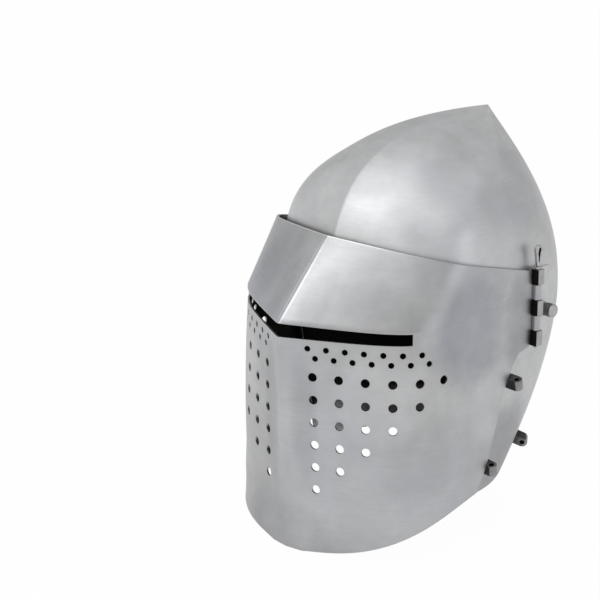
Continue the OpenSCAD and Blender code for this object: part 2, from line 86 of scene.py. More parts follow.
class BascinetSkullSizes(bpy.types.PropertyGroup):
    """Sizes of the skull"""

    half_w: length("Half width", 104, "Half width at the widest level")
    front_y: length("Front", -88.5, "Foremost point of the brow ridge")
    back_y: length("Back", 148, "Rearmost point")
    wide_y: length("Wide place", 9.5, "Y of the widest place")
    wide_z: length("Wide level", 185.5, "Height of the widest level and of the pivots")
    apex_y: length("Point, Y", 107, "Y of the point")
    apex_z: length("Point, Z", 336.5, "Height of the point")
    neck_z: length("Neck edge", 35.5, "Height of the neck edge")
    neck_half_w: length("Neck half width", 92.5, "Half width of the neck edge")
    neck_back_y: length("Neck back", 101.5, "Rearmost point of the neck edge")
    neck_wide_y: length("Neck wide place", -6, "Y of the widest place of the neck edge")
    neck_front_y: length("Neck front", -60, "Y at which the neck outline would close in front")
    brow_z: length("Brow edge", 226, "Height of the brow edge")
    brow_drop: length("Brow drop", 6, "Drop of the brow edge from the middle to the cheeks")
    thickness: length("Thickness", 1.8, "Thickness of the plate")
    crease: factor("Ridge", 0.28, "Share of the front half taken by the ridge")
    cheek_start: factor("Cheek start", 58, "Degrees from straight ahead where the cheek edge starts to fall")
    cheek_end: factor("Cheek end", 76, "Degrees from straight ahead where the cheek edge reaches the neck")
    # Painted shade: the inside is plain steel up to the first height and painted black as shade above it,
    # fading in over the second
    bare_z: length("Bare inside", 56, "Height up to which the inside is bare and clean")
    bare_fade: length("Bare fade", 18, "Height over which the black of the inside begins")


class BascinetVisorSizes(bpy.types.PropertyGroup):
    """Sizes of the visor and its breaths"""

    half_w: length("Half width", 107, "Half width at the slit")
    nose_y: length("Nose", -147.5, "Nose at the slit")
    top_y: length("Top, Y", -91, "Y of the top edge at the centre")
    top_z: length("Top, Z", 261, "Height of the top edge at the centre")
    chin_y: length("Chin", -134, "Nose at the chin before the lip turns out")
    chin_half_w: length("Chin half width", 98, "Half width at the chin before the lip turns out")
    lip_out: length("Lip", 5, "How far the chin lip turns out")
    lip_h: length("Lip height", 45, "Height over which the chin lip turns out")
    cheek_z: length("Cheek corner, Z", 41.5, "Height of the lowest rear corner")
    cheek_y: length("Cheek corner, Y", -15, "Y of the lowest rear corner")
    wide_y: length("Wide place", -4.5, "Y of the widest place")
    thickness: length("Thickness", 1.8, "Thickness of the plate")
    slit_z: length("Slit", 187.2, "Height of the lower edge of the slit")
    slit_h: length("Slit opening", 11.4, "Opening of the slit at the nose")
    slit_end_h: length("Slit end opening", 9.6, "Opening of the slit at its ends")
    slit_rise: length("Slit rise", 0.9, "How much higher the slit's lower edge stands at its ends")
    slit_half_w: length("Slit half width", 94.5, "Half of the slit's width")
    small_d: length("Small breath", 4.9, "Diameter of the small breaths")
    large_d: length("Large breath", 7.4, "Diameter of the large breaths")
    small_pitch: length("Small pitch", 15.8, "Distance between small breaths")
    large_pitch: length("Large pitch", 22.4, "Distance between large breaths")
    small_first: length("First small breath", 25, "Distance of the first small breath from the nose")
    large_first: length("First large breath", 28.5, "Distance of the first large breath from the nose")
    small_z: length("Small row", 179.8, "Height of the first row of small breaths")
    small_row_h: length("Small row step", 8, "Height between the rows of small breaths")
    large_z: length("Large row", 155.5, "Height of the first row of large breaths")
    large_row_h: length("Large row step", 19.7, "Height between the rows of large breaths")
    small_count: number("Small breaths", 7, "Small breaths in a row on each side")
    large_count: number("Large breaths", 6, "Large breaths in the top row on each side")
    fall: factor("Top fall", 0.274, "Fall of the top edge for each unit of Y")
    flank_taper: factor("Flank taper", 2.4, "How late the flanks come in towards the chin")


class BascinetFittingSizes(bpy.types.PropertyGroup):
    """Sizes of the hinges, pivots and studs"""

    hinge_x: length("Hinge, X", 108.6, "X of the hinge line")
    hinge_y: length("Hinge, Y", 48, "Y of the hinge line")
    hinge_z: length("Hinge, Z", 158.7, "Height of the bottom of the hinge")
    knuckle_h: length("Knuckle", 13, "Height of one knuckle")
    knuckle_gap: length("Knuckle gap", 0.4, "Gap between knuckles")
    roll_r: length("Roll", 3.5, "Radius of the visor's rolled knuckles")
    box_w: length("Square knuckle", 8.2, "Width of the arm's square knuckles")
    pin_d: length("Pin", 4, "Diameter of the hinge pin")
    ring_h: length("Ring height", 19.5, "Height of the ring on the pin")
    ring_w: length("Ring width", 9, "Width of the ring on the pin")
    arm_t: length("Arm", 2.2, "Thickness of the arm")
    pivot_y: length("Pivot, Y", 65, "Y of the pivots")
    bolt_d: length("Bolt", 6, "Diameter of the bolt's shank")
    head_d: length("Bolt head", 11.5, "Diameter of the bolt's drum head")
    head_l: length("Bolt head length", 8, "Length of the bolt's drum head")
    stud_l: length("Stud length", 14, "Length that a stud stands out of the skull")
    stud_w: length("Stud width", 9.4, "Width of a stud across its hole")
    stud_b: length("Stud depth", 9.4, "Width of a stud along its hole")
    stud_hole_d: length("Stud hole", 4.2, "Diameter of the hole through a stud")
    run: length("Running clearance", 0.06, "Radial clearance of pins and bolts")
    arm_bend: factor("Arm bend", 8, "Degrees by which the arm bends in to the skull")


class BascinetCapSizes(bpy.types.PropertyGroup):
    """Sizes of the quilted cap"""

    thickness: length("Thickness", 9, "Thickness in the middle of a channel")
    gap: length("Gap", 0.9, "Gap between the skull and the cap")
    side_z: length("Side edge", 203, "Height of the lower edge at the sides")
    rise: length("Brow rise", 26, "How much higher the lower edge stands at the brow")
    drop: length("Nape drop", 42, "How much lower the lower edge hangs at the nape")
    stitch: length("Stitch", 3.6, "Length of one stitch")
    stitch_step: length("Stitch step", 6, "Distance between stitches")
    channels: number("Channels", 20, "Channels round the cap")


class BascinetFinishes(bpy.types.PropertyGroup):
    """Colours of the steel and the cloth"""

    steel: colour("Steel", (0.655, 0.66, 0.665), "Polished plate")
    steel_dark: colour("Steel, dull", (0.49, 0.493, 0.50), "Duller patches of the plate")
    fitting: colour("Fittings", (0.33, 0.33, 0.33), "Forged fittings")
    fitting_dark: colour("Fittings, dull", (0.14, 0.14, 0.14), "Hollows of the fittings")
    linen: colour("Linen", (0.62, 0.55, 0.43), "Undyed linen")
    thread: colour("Thread", (0.80, 0.75, 0.64), "Stitching")
    # How much lighter the skull's steel is made than the visor's
    skull_polish: factor("Skull polish", 1.22, "How much brighter the skull is polished than the visor")
    paper: colour("Backdrop", (1.0, 1.0, 1.0), "Floor and backdrop")


GROUPS = {
    "bascinet_skull": BascinetSkullSizes,
    "bascinet_visor": BascinetVisorSizes,
    "bascinet_fittings": BascinetFittingSizes,
    "bascinet_cap": BascinetCapSizes,
    "bascinet_finishes": BascinetFinishes,
}


class Sizes:
    """Reads a property group with its lengths in millimetres"""

    def __init__(self, name):
        self.group = getattr(bpy.context.scene, name)

    def __getattr__(self, name):
        value = getattr(self.group, name)
        return value / MM if self.group.bl_rna.properties[name].unit == "LENGTH" else value


# Shapes of the plates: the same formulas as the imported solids, sampled more finely and with softer ridges

FRONT_FULL, BACK_FULL, NECK_FULL, NECK_TAPER = 4.1, 2.42, 1.7, 1.68
RIDGE_P, RIDGE_Q, SIDE_P, SIDE_Q, NAPE_P, NAPE_Q = 3.25, 0.308, 4.5, 0.88, 1.49, 1.59
RIDGE_REACH, NAPE_REACH = 5.8, 1.46
TOP_FULL, SLIT_FULL, CHIN_FULL = 3.7, 5.6, 3.35
TOP_CREASE, SLIT_CREASE, CHIN_CREASE = 0.39, 0.38, 0.12
SIDE_SHARE = 0.16
TIP_SHARE = 1.2
REAR_EDGE = ((41.5, -15), (61, -6), (93, 2.6), (128, 12.3), (147, 21.7), (155.5, 29), (158.5, 43), (300, 43))
RIDGE_SOFT = 0.014
# How far the level band round the slit reaches past it, and the upright at the rear past its last point
SLIT_BAND, REAR_SPARE = 1, 5
# Where the search for each edge of the visor starts, and the share of the way that each step takes
TOP_GUESS, TOP_STEP, LOW_GUESS, LOW_STEP = 240, 0.6, 15, 0.5
# Level stretch of the low edge at the chin, and how early the edge rises to the cheek
CHIN_LEVEL, CHEEK_RISE = 2.5, 0.76
SMALL_ROWS, SMALL_STAGGER = 2, 0.4


def smooth(k):
    k = np.clip(k, 0, 1)
    return k * k * (3 - 2 * k)


def outline(phi, w, wide, front, back, crease, nf, nb):
    """Superellipse outline with a ridge in front: x, y and the reach towards front or back"""
    ahead = np.cos(phi) >= 0
    n = np.where(ahead, nf, nb)
    r = (np.abs(np.sin(phi)) ** n + np.abs(np.cos(phi)) ** n) ** (-1 / n)
    s, e = np.abs(np.sin(phi)) * r, np.abs(np.cos(phi)) * r
    soft = (np.sqrt(s * s + RIDGE_SOFT**2) - RIDGE_SOFT) / (math.sqrt(1 + RIDGE_SOFT**2) - RIDGE_SOFT)
    y = np.where(
        ahead, wide - (wide - front) * ((1 - crease) * e + crease * (1 - soft)), wide + (back - wide) * e
    )
    return w * s * np.sign(np.sin(phi)), y, e


def skull_point(k, phi, z, inset=0.0):
    """Point of the skull at an angle from the front, in radians, and a height, set in by a distance"""
    x, y, e = outline(
        phi, k.half_w - inset, k.wide_y, k.front_y + inset, k.back_y - inset, k.crease, FRONT_FULL, BACK_FULL
    )
    nx, ny, _ = outline(
        phi, k.neck_half_w - inset, k.neck_wide_y, k.neck_front_y, k.neck_back_y - inset, k.crease,
        NECK_FULL, NECK_FULL,
    )
    ahead = np.cos(phi) >= 0
    fore, aft = np.where(ahead, e**RIDGE_REACH, 0), np.where(ahead, 0, e**NAPE_REACH)
    p = SIDE_P + (RIDGE_P - SIDE_P) * fore + (NAPE_P - SIDE_P) * aft
    q = SIDE_Q + (RIDGE_Q - SIDE_Q) * fore + (NAPE_Q - SIDE_Q) * aft
    top = k.apex_z - TIP_SHARE * inset
    g = np.maximum(0, 1 - np.clip((z - k.wide_z) / (top - k.wide_z), 0, 1) ** p) ** q
    t = np.clip((k.wide_z - z) / (k.wide_z - k.neck_z), 0, 1) ** NECK_TAPER
    high = z >= k.wide_z
    return np.stack(
        [
            np.where(high, x * g, x + (nx - x) * t),
            np.where(high, k.apex_y + (y - k.apex_y) * g, y + (ny - y) * t),
            z + 0 * x,
        ],
        -1,
    )


def skull_edge(k, phi):
    a = np.abs((np.degrees(phi) + 180) % 360 - 180)
    brow = k.brow_z - k.brow_drop * (a / k.cheek_start) ** 2 * (a < k.cheek_start)
    return brow + (k.neck_z - brow) * smooth((a - k.cheek_start) / (k.cheek_end - k.cheek_start))


def unit(v):
    return v / np.maximum(np.linalg.norm(v, axis=-1, keepdims=True), 1e-9)


def onward(loop):
    """Unit vectors along a closed loop of points"""
    return unit(np.roll(loop, -1, axis=0) - np.roll(loop, 1, axis=0))


def travelled(line):
    """Distance along a line of points, from its first point to each"""
    return np.concatenate([[0], np.cumsum(np.linalg.norm(np.diff(line, axis=0), axis=1))])


def turn_and_shift(matrix):
    return np.array(matrix.to_3x3()), np.array(matrix.to_translation())


def upright(depth):
    """Stands up a piece that lies in the XY plane, with its top turned to +X at that depth"""
    return Matrix(((0, 0, 1, depth), (1, 0, 0, 0), (0, 1, 0, 0), (0, 0, 0, 1)))


def arc_points(x, y, across, up, angles):
    """Points on an arc of an ellipse, at angles in radians"""
    return [(x + across * math.cos(a), y + up * math.sin(a)) for a in angles]


def skull_normal(k, phi, z, step=0.6):
    """Unit vector out of the skull"""
    turn = math.radians(step)
    a = skull_point(k, phi + turn, z) - skull_point(k, phi - turn, z)
    u = skull_point(k, phi, z + step) - skull_point(k, phi, z - step)
    return unit(np.cross(a, u))


class VisorShape:
    """Outside of the visor: u runs from -1 at the right rear to 1 at the left rear"""

    def __init__(self, v):
        self.v = v
        self.low, self.high = v.slit_z - SLIT_BAND, v.slit_z + v.slit_h + SLIT_BAND

    def level(self, z):
        v = self.v
        up = np.clip((z - self.high) / (v.top_z - self.high), 0, 1)
        dn = np.clip((self.low - z) / self.low, 0, 1)
        lip = v.lip_out * np.clip(1 - z / v.lip_h, 0, 1) ** 2
        rear = np.interp(z, *zip(*REAR_EDGE))
        return (
            v.half_w + (v.chin_half_w - v.half_w) * dn**v.flank_taper + lip,
            np.minimum(v.wide_y, rear),
            v.nose_y + (v.top_y - v.nose_y) * up + (v.chin_y - v.nose_y) * dn - lip,
            SLIT_CREASE + (TOP_CREASE - SLIT_CREASE) * up + (CHIN_CREASE - SLIT_CREASE) * dn,
            SLIT_FULL + (TOP_FULL - SLIT_FULL) * up + (CHIN_FULL - SLIT_FULL) * dn,
            rear,
        )

    def point(self, u, z):
        w, wide, nose, crease, n, rear = self.level(z)
        curve = 1 - SIDE_SHARE * (rear - wide) / (REAR_EDGE[-1][1] + REAR_SPARE - self.v.wide_y)
        phi = np.radians(90 * np.clip(np.abs(u) / curve, 0, 1))
        with np.errstate(divide="ignore", invalid="ignore"):
            back = np.where(curve < 1, np.clip((np.abs(u) - curve) / (1 - curve), 0, 1), 0)
        x, y, _ = outline(phi, w, wide, nose, wide, crease, n, n)
        y = np.where(phi > math.radians(89.9), wide, y) + back * (rear - wide)
        return np.stack([x * np.sign(u), y, z + 0 * x], -1)

    def normal(self, u, z, du=0.002, dz=0.4):
        a = self.point(np.minimum(u + du, 1), z) - self.point(np.maximum(u - du, -1), z)
        b = self.point(u, z + dz) - self.point(u, z - dz)
        return unit(np.cross(a, b))

    def top_edge(self, u, steps=8):
        v, z = self.v, TOP_GUESS + 0 * u
        for _ in range(steps):
            z = z + TOP_STEP * (v.top_z - v.fall * (self.point(u, z)[..., 1] - v.top_y) - z)
        return z

    def low_edge(self, u, steps=8):
        v, z = self.v, LOW_GUESS + 0 * u
        for _ in range(steps):
            away = self.point(u, z)[..., 1] - v.chin_y + CHIN_LEVEL
            k = np.clip(away / (v.cheek_y - v.chin_y + CHIN_LEVEL), 0, 1)
            z = z + LOW_STEP * (v.cheek_z * k**CHEEK_RISE - z)
        return z

    def u_at(self, x, z):
        """u of a point at a given x and height"""
        table = np.linspace(0, 1, 801)
        xs = self.point(table, z + 0 * table)[:, 0]
        n = int(np.searchsorted(xs, xs.max() - 1e-6)) + 1
        return float(np.interp(abs(x), xs[:n], table[:n])) * (1 if x >= 0 else -1)

    def walk(self, z, along):
        """x at a distance measured along the plate from the nose"""
        table = np.linspace(0, 1, 1201)
        p = self.point(table, z + 0 * table)
        return float(np.interp(along, travelled(p), p[:, 0]))

    def breaths(self):
        """u, height and diameter of each breath"""
        v, places = self.v, []
        for row in range(SMALL_ROWS):
            for i in range(v.small_count):
                along = v.small_first + (i + row * SMALL_STAGGER) * v.small_pitch
                places.append((along, v.small_z - row * v.small_row_h, v.small_d))
        for row in range(v.large_count):
            for i in range(v.large_count - row):
                along = v.large_first + i * v.large_pitch
                places.append((along, v.large_z - row * v.large_row_h, v.large_d))
        return [
            (side * self.u_at(self.walk(z, along), z), z, d)
            for along, z, d in places for side in (1, -1)
        ]

    def ring(self, u, z, d, count):
        """Points of a round cut, square to the plate, as u and height, clockwise as seen from outside"""
        c, n = self.point(np.array(u), np.array(z)), self.normal(np.array(u), np.array(z))
        across = unit(np.cross([0, 0, 1], n))
        a = -np.linspace(0, 2 * math.pi, count, endpoint=False)
        goal = c + d / 2 * (np.cos(a)[:, None] * across + np.sin(a)[:, None] * np.cross(n, across))
        uu, zz, du, dz = np.full(count, u), np.full(count, z), 1e-3, 0.2
        for _ in range(5):
            p = self.point(uu, zz)
            jac = np.stack(
                [(self.point(uu + du, zz) - p) / du, (self.point(uu, zz + dz) - p) / dz,
                 np.broadcast_to(n, p.shape)], -1)
            step = np.linalg.solve(jac, (goal - p)[..., None])[..., 0]
            uu, zz = uu + step[:, 0], zz + step[:, 1]
        return np.stack([uu, zz], -1)


class Mesh:
    """Gathers the points, faces and normals of one piece, and its wear and painted shade.

    The wear and painted shade, named edge, is 1 at a worn rim, 0 on plain metal and -1 where shade is painted
    black.
    """

    def __init__(self):
        self.points, self.normals, self.edge, self.faces, self.face_normals = [], [], [], [], []
        self.count = 0

    def add(self, points, normals, edge, faces, face_normals=None):
        """Adds one shell; face_normals give a normal to each corner, where they differ from the points'"""
        points, normals = np.asarray(points, float), np.asarray(normals, float)
        self.points.append(points)
        self.normals.append(normals)
        self.edge.append(np.broadcast_to(np.asarray(edge, float), (len(points),)))
        for i, face in enumerate(faces):
            self.faces.append([self.count + f for f in face])
            self.face_normals.append(
                face_normals[i] if face_normals is not None else [normals[f] for f in face]
            )
        self.count += len(points)

    def build(self, name):
        """A mesh object in metres, shaded by the normals that were given"""
        mesh = bpy.data.meshes.new(name)
        mesh.from_pydata((np.concatenate(self.points) * MM).tolist(), [], self.faces)
        mesh.attributes.new("edge", "FLOAT", "POINT").data.foreach_set("value", np.concatenate(self.edge))
        mesh.polygons.foreach_set("use_smooth", [True] * len(mesh.polygons))
        mesh.normals_split_custom_set([tuple(n) for face in self.face_normals for n in face])
        mesh.update()
        return add_object(name, mesh)


# How far, in millimetres, the wear of an edge reaches over the plate
WEAR_REACH = 2.5
# The share of the spacing by which the grid stands clear of the rims
GRID_CLEAR = 0.55
# Where a triangle's normals are taken: this share at its corner, and this share at its middle
CORNER, MIDDLE = 0.88, 0.12


def near_edge(flat, loops, reach):
    """For points in the flat pattern: 1 at an edge, falling to 0 over the reach, and the distance itself"""
    rims = np.concatenate(loops)
    nearest = np.full(len(flat), 1e9)
    for start in range(0, len(rims), 400):
        gap = np.linalg.norm(flat[:, None] - rims[None, start:start + 400], axis=-1)
        nearest = np.minimum(nearest, gap.min(axis=1))
    return np.exp(-nearest / reach), nearest


def inside(flat, loop):
    """Which points of the flat pattern lie inside a closed loop"""
    x, y = flat[:, 0], flat[:, 1]
    hit = np.zeros(len(flat), bool)
    a, b = loop, np.roll(loop, -1, axis=0)
    for (ax, ay), (bx, by) in zip(a, b):
        if ay != by:
            hit ^= ((ay > y) != (by > y)) & (x < (bx - ax) * (y - ay) / (by - ay) + ax)
    return hit


def within(flat, loops):
    """Which points of the flat pattern lie inside the first loop and outside the others"""
    keep = inside(flat, loops[0])
    for loop in loops[1:]:
        keep &= ~inside(flat, loop)
    return keep


def rounded_edge(p, out, inward, r, thickness):
    """Four rows of points, and of normals, round a cut edge from the plate's outside to its inside"""
    soft = r * (1 - math.cos(math.radians(45)))
    points = [
        p + inward * soft - out * soft, p - out * r, p - out * (thickness - r),
        p + inward * soft - out * (thickness - soft),
    ]
    return points, [unit(out - inward), -inward, -inward, unit(-out - inward)]


def shell_faces(rows, n):
    """Faces of closed rows of n points, and of the two tips that follow them"""
    faces, last = [], (rows - 1) * n
    for a in range(rows - 1):
        low, high = a * n, (a + 1) * n
        faces += [[low + i, high + i, high + (i + 1) % n, low + (i + 1) % n] for i in range(n)]
    faces += [[i, (i + 1) % n, rows * n] for i in range(n)]
    faces += [[last + (i + 1) % n, last + i, rows * n + 1] for i in range(n)]
    return faces


def plate(
    mesh, place, normal, rim, holes, grid, creases, thickness, rounding, spacing, stretch=(1, 1), soot=False
):
    """Adds a plate cut to a flat pattern, with rounded rims.

    place and normal turn points of the pattern into space; rim runs anticlockwise and the holes clockwise.
    The pattern keeps the points of the grid that stand clear of the rims, and an edge along each crease.
    With painted shade, the inside is painted black as shade away from the rim.
    """
    stretch = np.array(stretch, float)
    loops = [np.asarray(rim, float)] + [np.asarray(h, float) for h in holes]
    flat_loops = [loop * stretch for loop in loops]
    grid = np.asarray(grid, float).reshape(-1, 2)
    if len(grid):
        _, gap = near_edge(grid * stretch, flat_loops, 1.0)
        grid = grid[(gap > spacing * GRID_CLEAR) & within(grid * stretch, flat_loops)]
    edges, start = [], 0
    for loop in loops:
        n = len(loop)
        edges += [(start + i, start + (i + 1) % n) for i in range(n)]
        start += n
    flat = np.concatenate(flat_loops + [grid * stretch])
    for line in creases:
        on = [i for i in range(len(flat)) if abs(flat[i] @ line[0] - line[1]) < 1e-6]
        on.sort(key=lambda i: flat[i] @ np.array([-line[0][1], line[0][0]]))
        middles = np.array([(flat[a] + flat[b]) / 2 for a, b in zip(on, on[1:])])
        if len(middles):
            keep = within(middles, flat_loops)
            edges += [(a, b) for a, b, good in zip(on, on[1:], keep) if good]
    result = geometry.delaunay_2d_cdt([Vector(p) for p in flat], edges, [], 0, 1e-7)
    flat_out = np.array([tuple(p) for p in result[0]])
    source = [o[0] if o else -1 for o in result[3]]
    tris = np.array([f for f in result[2] if len(f) == 3])
    tris = tris[within(flat_out[tris].mean(axis=1), flat_loops)]
    a, b, c = (flat_out[tris[:, i]] for i in range(3))
    turn = (b - a)[:, 0] * (c - a)[:, 1] - (b - a)[:, 1] * (c - a)[:, 0]
    tris[turn < 0] = tris[turn < 0][:, ::-1]
    pattern = flat_out / stretch
    points = place(pattern[:, 0], pattern[:, 1])
    normals = normal(pattern[:, 0], pattern[:, 1])
    worn, _ = near_edge(flat_out, flat_loops, WEAR_REACH)
    bare, _ = near_edge(flat_out, flat_loops[:1], WEAR_REACH)
    where = {s: i for i, s in enumerate(source) if s >= 0}

    rims, start = [], 0
    for loop in loops:
        n = len(loop)
        ids = np.array([where[start + i] for i in range(n)])
        start += n
        p, out = points[ids], normals[ids]
        inward = unit(np.cross(out, onward(p)))
        rims.append((ids, p.copy(), out, inward))
        points[ids] = p + inward * rounding
    n_flat = len(points)
    corners = CORNER * pattern[tris] + MIDDLE * pattern[tris].mean(axis=1, keepdims=True)
    outer = normal(corners[..., 0].ravel(), corners[..., 1].ravel()).reshape(len(tris), 3, 3)
    # Painted shade: with it, the inside's edge values fall from the rim's wear to -1, black, away from the
    # rim
    mesh.add(
        np.concatenate([points, points - normals * thickness]),
        np.concatenate([normals, -normals]),
        np.concatenate([worn, 2 * bare - 1]) if soot else np.concatenate([worn, worn]),
        tris.tolist() + (tris[:, ::-1] + n_flat).tolist(),
        list(outer) + list(-outer[:, ::-1]),
    )
    base = mesh.count - 2 * n_flat
    for ids, p, out, inward in rims:
        n, first = len(ids), mesh.count
        rows, turns = rounded_edge(p, out, inward, rounding, thickness)
        index = [base + ids] + [first + k * n + np.arange(n) for k in range(4)] + [base + n_flat + ids]
        mesh.points += rows
        mesh.normals += turns
        mesh.edge += [np.ones(n)] * 4
        mesh.count += 4 * n
        turns = [out, *turns, -out]
        for k in range(5):
            for i in range(n):
                j = (i + 1) % n
                face = ((k, i), (k + 1, i), (k + 1, j), (k, j))
                mesh.faces.append([int(index[row][at]) for row, at in face])
                mesh.face_normals.append([turns[row][at] for row, at in face])


def flat_plate(mesh, rim, holes, thickness, rounding, matrix):
    """Adds a flat plate with holes; the matrix carries it to its place from the XY plane, outside on top"""
    turn, shift = turn_and_shift(matrix)

    def place(x, y):
        return np.stack([x, y, 0 * x], -1) @ turn.T + shift

    def normal(x, y):
        return np.broadcast_to(turn[:, 2], x.shape + (3,)).copy()

    plate(mesh, place, normal, rim, holes, [], [], thickness, rounding, 1.0)


def circle(x, y, r, count=40, start=0.0):
    """Clockwise loop, for a hole"""
    a = start - np.linspace(0, 2 * math.pi, count, endpoint=False)
    return np.stack([x + r * np.cos(a), y + r * np.sin(a)], -1)


def round_corners(points, r, steps=5):
    """Rounds the corners of a closed anticlockwise outline"""
    points, out = np.asarray(points, float), []
    for i, p in enumerate(points):
        a, b = unit(points[i - 1] - p), unit(points[(i + 1) % len(points)] - p)
        for k in range(steps + 1):
            t = k / steps
            out.append(p + a * r * (1 - t) ** 2 + b * r * t**2)
    return np.array(out)


def lathe(mesh, profile, matrix, count=56):
    """Adds a turned piece: the profile is (radius, height) from the foot's middle to the head's middle"""
    turn, shift = turn_and_shift(matrix)
    profile = np.asarray(profile, float)
    a = np.linspace(0, 2 * math.pi, count, endpoint=False)
    spokes = np.stack([np.cos(a), np.sin(a), 0 * a], -1)
    rings = [spokes * r + [0, 0, h] for r, h in profile]
    faces, corner = [], []
    for k in range(len(profile) - 1):
        (r0, h0), (r1, h1) = profile[k], profile[k + 1]
        level = unit(np.array([h1 - h0, r0 - r1]))
        shade = (spokes * level[0] + [0, 0, level[1]]) @ turn.T
        low, high = k * count, (k + 1) * count
        for i in range(count):
            j = (i + 1) % count
            if r0 < 1e-6:
                faces.append([low, high + j, high + i])
                corner.append([shade[i], shade[j], shade[i]])
            elif r1 < 1e-6:
                faces.append([low + i, low + j, high])
                corner.append([shade[i], shade[j], shade[i]])
            else:
                faces.append([low + i, low + j, high + j, high + i])
                corner.append([shade[i], shade[j], shade[j], shade[i]])
    points = np.concatenate(rings)
    used = sorted({f for face in faces for f in face})
    index = {f: i for i, f in enumerate(used)}
    faces = [[index[f] for f in face] for face in faces]
    mesh.add(points[used] @ turn.T + shift, points[used] * 0, 0.4, faces, corner)


def tube(mesh, path, along, radius, matrix, sides=20):
    """Adds a closed loop of flat-sided wire along a path in the XZ plane, with shade painted dark on the
    inside of the loop.

    The wire is along times as wide across the loop's plane as in it.
    """
    turn, shift = turn_and_shift(matrix)
    path = np.asarray(path, float)
    n = len(path)
    ahead = onward(path)
    side = np.stack([-ahead[:, 2], 0 * ahead[:, 1], ahead[:, 0]], -1)
    a = np.linspace(0, 2 * math.pi, sides, endpoint=False)
    up, power = np.array([0, 1.0, 0]), 3.2
    c, s = np.cos(a), np.sin(a)
    swell = (abs(c) ** power + abs(s) ** power) ** (-1 / power)
    nc, ns = np.sign(c) * abs(c) ** (power - 1), np.sign(s) * abs(s) ** (power - 1)
    r = radius * swell
    points, normals = [], []
    for i in range(n):
        points += [path[i] + side[i] * u + up * v * along for u, v in zip(c * r, s * r)]
        normals += [unit(side[i] * u * along + up * v) for u, v in zip(nc, ns)]
    # Painted shade: the faces towards the inside of the loop are painted nearly black
    facing_in, black, worn = 0.72, -0.9, 0.3
    edge = np.tile(np.where(c > facing_in, black, worn), n)
    faces = []
    for i in range(n):
        for k in range(sides):
            m, j = (k + 1) % sides, (i + 1) % n
            faces.append([i * sides + k, j * sides + k, j * sides + m, i * sides + m])
    mesh.add(np.array(points) @ turn.T + shift, np.array(normals) @ turn.T, edge, faces)


# Finishes


class Wire:
    """A socket of a material, on which expressions build Math nodes"""

    def __init__(self, finish, socket):
        self.finish, self.socket = finish, socket

    def math(self, operation, *values):
        return self.finish.node("Math", {"operation": operation}, *values)

    def __add__(self, other):
        return self.math("ADD", self, other)

    def __mul__(self, other):
        return self.math("MULTIPLY", self, other)

    def __sub__(self, other):
        return self.math("SUBTRACT", self, other)

    def __rsub__(self, other):
        return self.math("SUBTRACT", other, self)

    __radd__, __rmul__ = __add__, __mul__


class Finish:
    """The node tree of a procedural material, or of the world, under construction"""

    def __init__(self, owner):
        self.owner = owner
        owner.use_nodes = True
        self.tree = owner.node_tree
        self.tree.nodes.clear()

    def node(self, kind, settings=None, *values, out=0, **named):
        """Adds a node, makes its settings, then fills its sockets, by number or by name"""
        node = self.tree.nodes.new("ShaderNode" + kind)
        for key, value in (settings or {}).items():
            setattr(node, key, value)
        pairs = list(enumerate(values)) + [(key.replace("_", " "), value) for key, value in named.items()]
        for key, value in pairs:
            socket = node.inputs[key]
            if isinstance(value, Wire):
                self.tree.links.new(value.socket, socket)
            elif value is not None:
                socket.default_value = (*value, 1) if socket.type == "RGBA" and len(value) == 3 else value
        return Wire(self, node.outputs[out])

    def noise(self, place, scale, stretch=(1, 1, 1), detail=3.0, rough=0.5):
        """Noise from 0 to 1, with features about 1/scale metres across"""
        spread = self.node("Mapping", None, place, None, None, tuple(scale * s for s in stretch))
        return self.node("TexNoise", None, spread, Scale=1.0, Detail=detail, Roughness=rough)

    def smear(self, place, cloud, centre, reach):
        """1 in a ragged patch round a centre, alike on the left and right, fading to 0 at its reach"""
        x, y, z = (self.node("SeparateXYZ", None, place, out=i) for i in range(3))
        away = (cloud - 0.5) * 1.5
        for value, middle, size in zip((x.math("ABSOLUTE", x), y, z), centre, reach):
            part = (value - middle) * (1 / size)
            away = away + part * part
        return self.ramp(away, 1.2, 0.3)

    def ramp(self, value, low, high):
        """Stretches the values between low and high to 0..1"""
        return self.node("MapRange", {"clamp": True}, value, low, high, 0.0, 1.0)

    def mix(self, amount, a, b, blend="MIX"):
        node = self.tree.nodes.new("ShaderNodeMix")
        node.data_type, node.blend_type = "RGBA", blend
        for key, value in ((0, amount), (6, a), (7, b)):
            if isinstance(value, Wire):
                self.tree.links.new(value.socket, node.inputs[key])
            else:
                node.inputs[key].default_value = (*value, 1) if key > 0 and len(value) == 3 else value
        return Wire(self, node.outputs[2])

    def shade(self, base, rough, height, depth, **constants):
        """Ends the material in one Principled shader with a bump"""
        bump = self.node("Bump", None, 1.0, depth, Height=height)
        shader = self.node("BsdfPrincipled", None, Base_Color=base, Roughness=rough, Normal=bump, **constants)
        return self.end(shader)

    def end(self, shader, kind="ShaderNodeOutputMaterial"):
        """Ends the tree in that shader"""
        self.tree.links.new(shader.socket, self.tree.nodes.new(kind).inputs["Surface"])
        return self.owner

    def wear(self):
        """How worn the metal is and how much shade is painted black on it, from 0 to 1, and the edge
        attribute that they come from
        """
        edge = self.node("Attribute", {"attribute_name": "edge", "attribute_type": "GEOMETRY"}, out=2)
        return self.ramp(edge, 0, 1), self.ramp(edge * -1.0, 0, 0.9), edge


def toned(tone, share):
    """A lighter or darker tone"""
    return tuple(min(1, c * share) for c in tone)
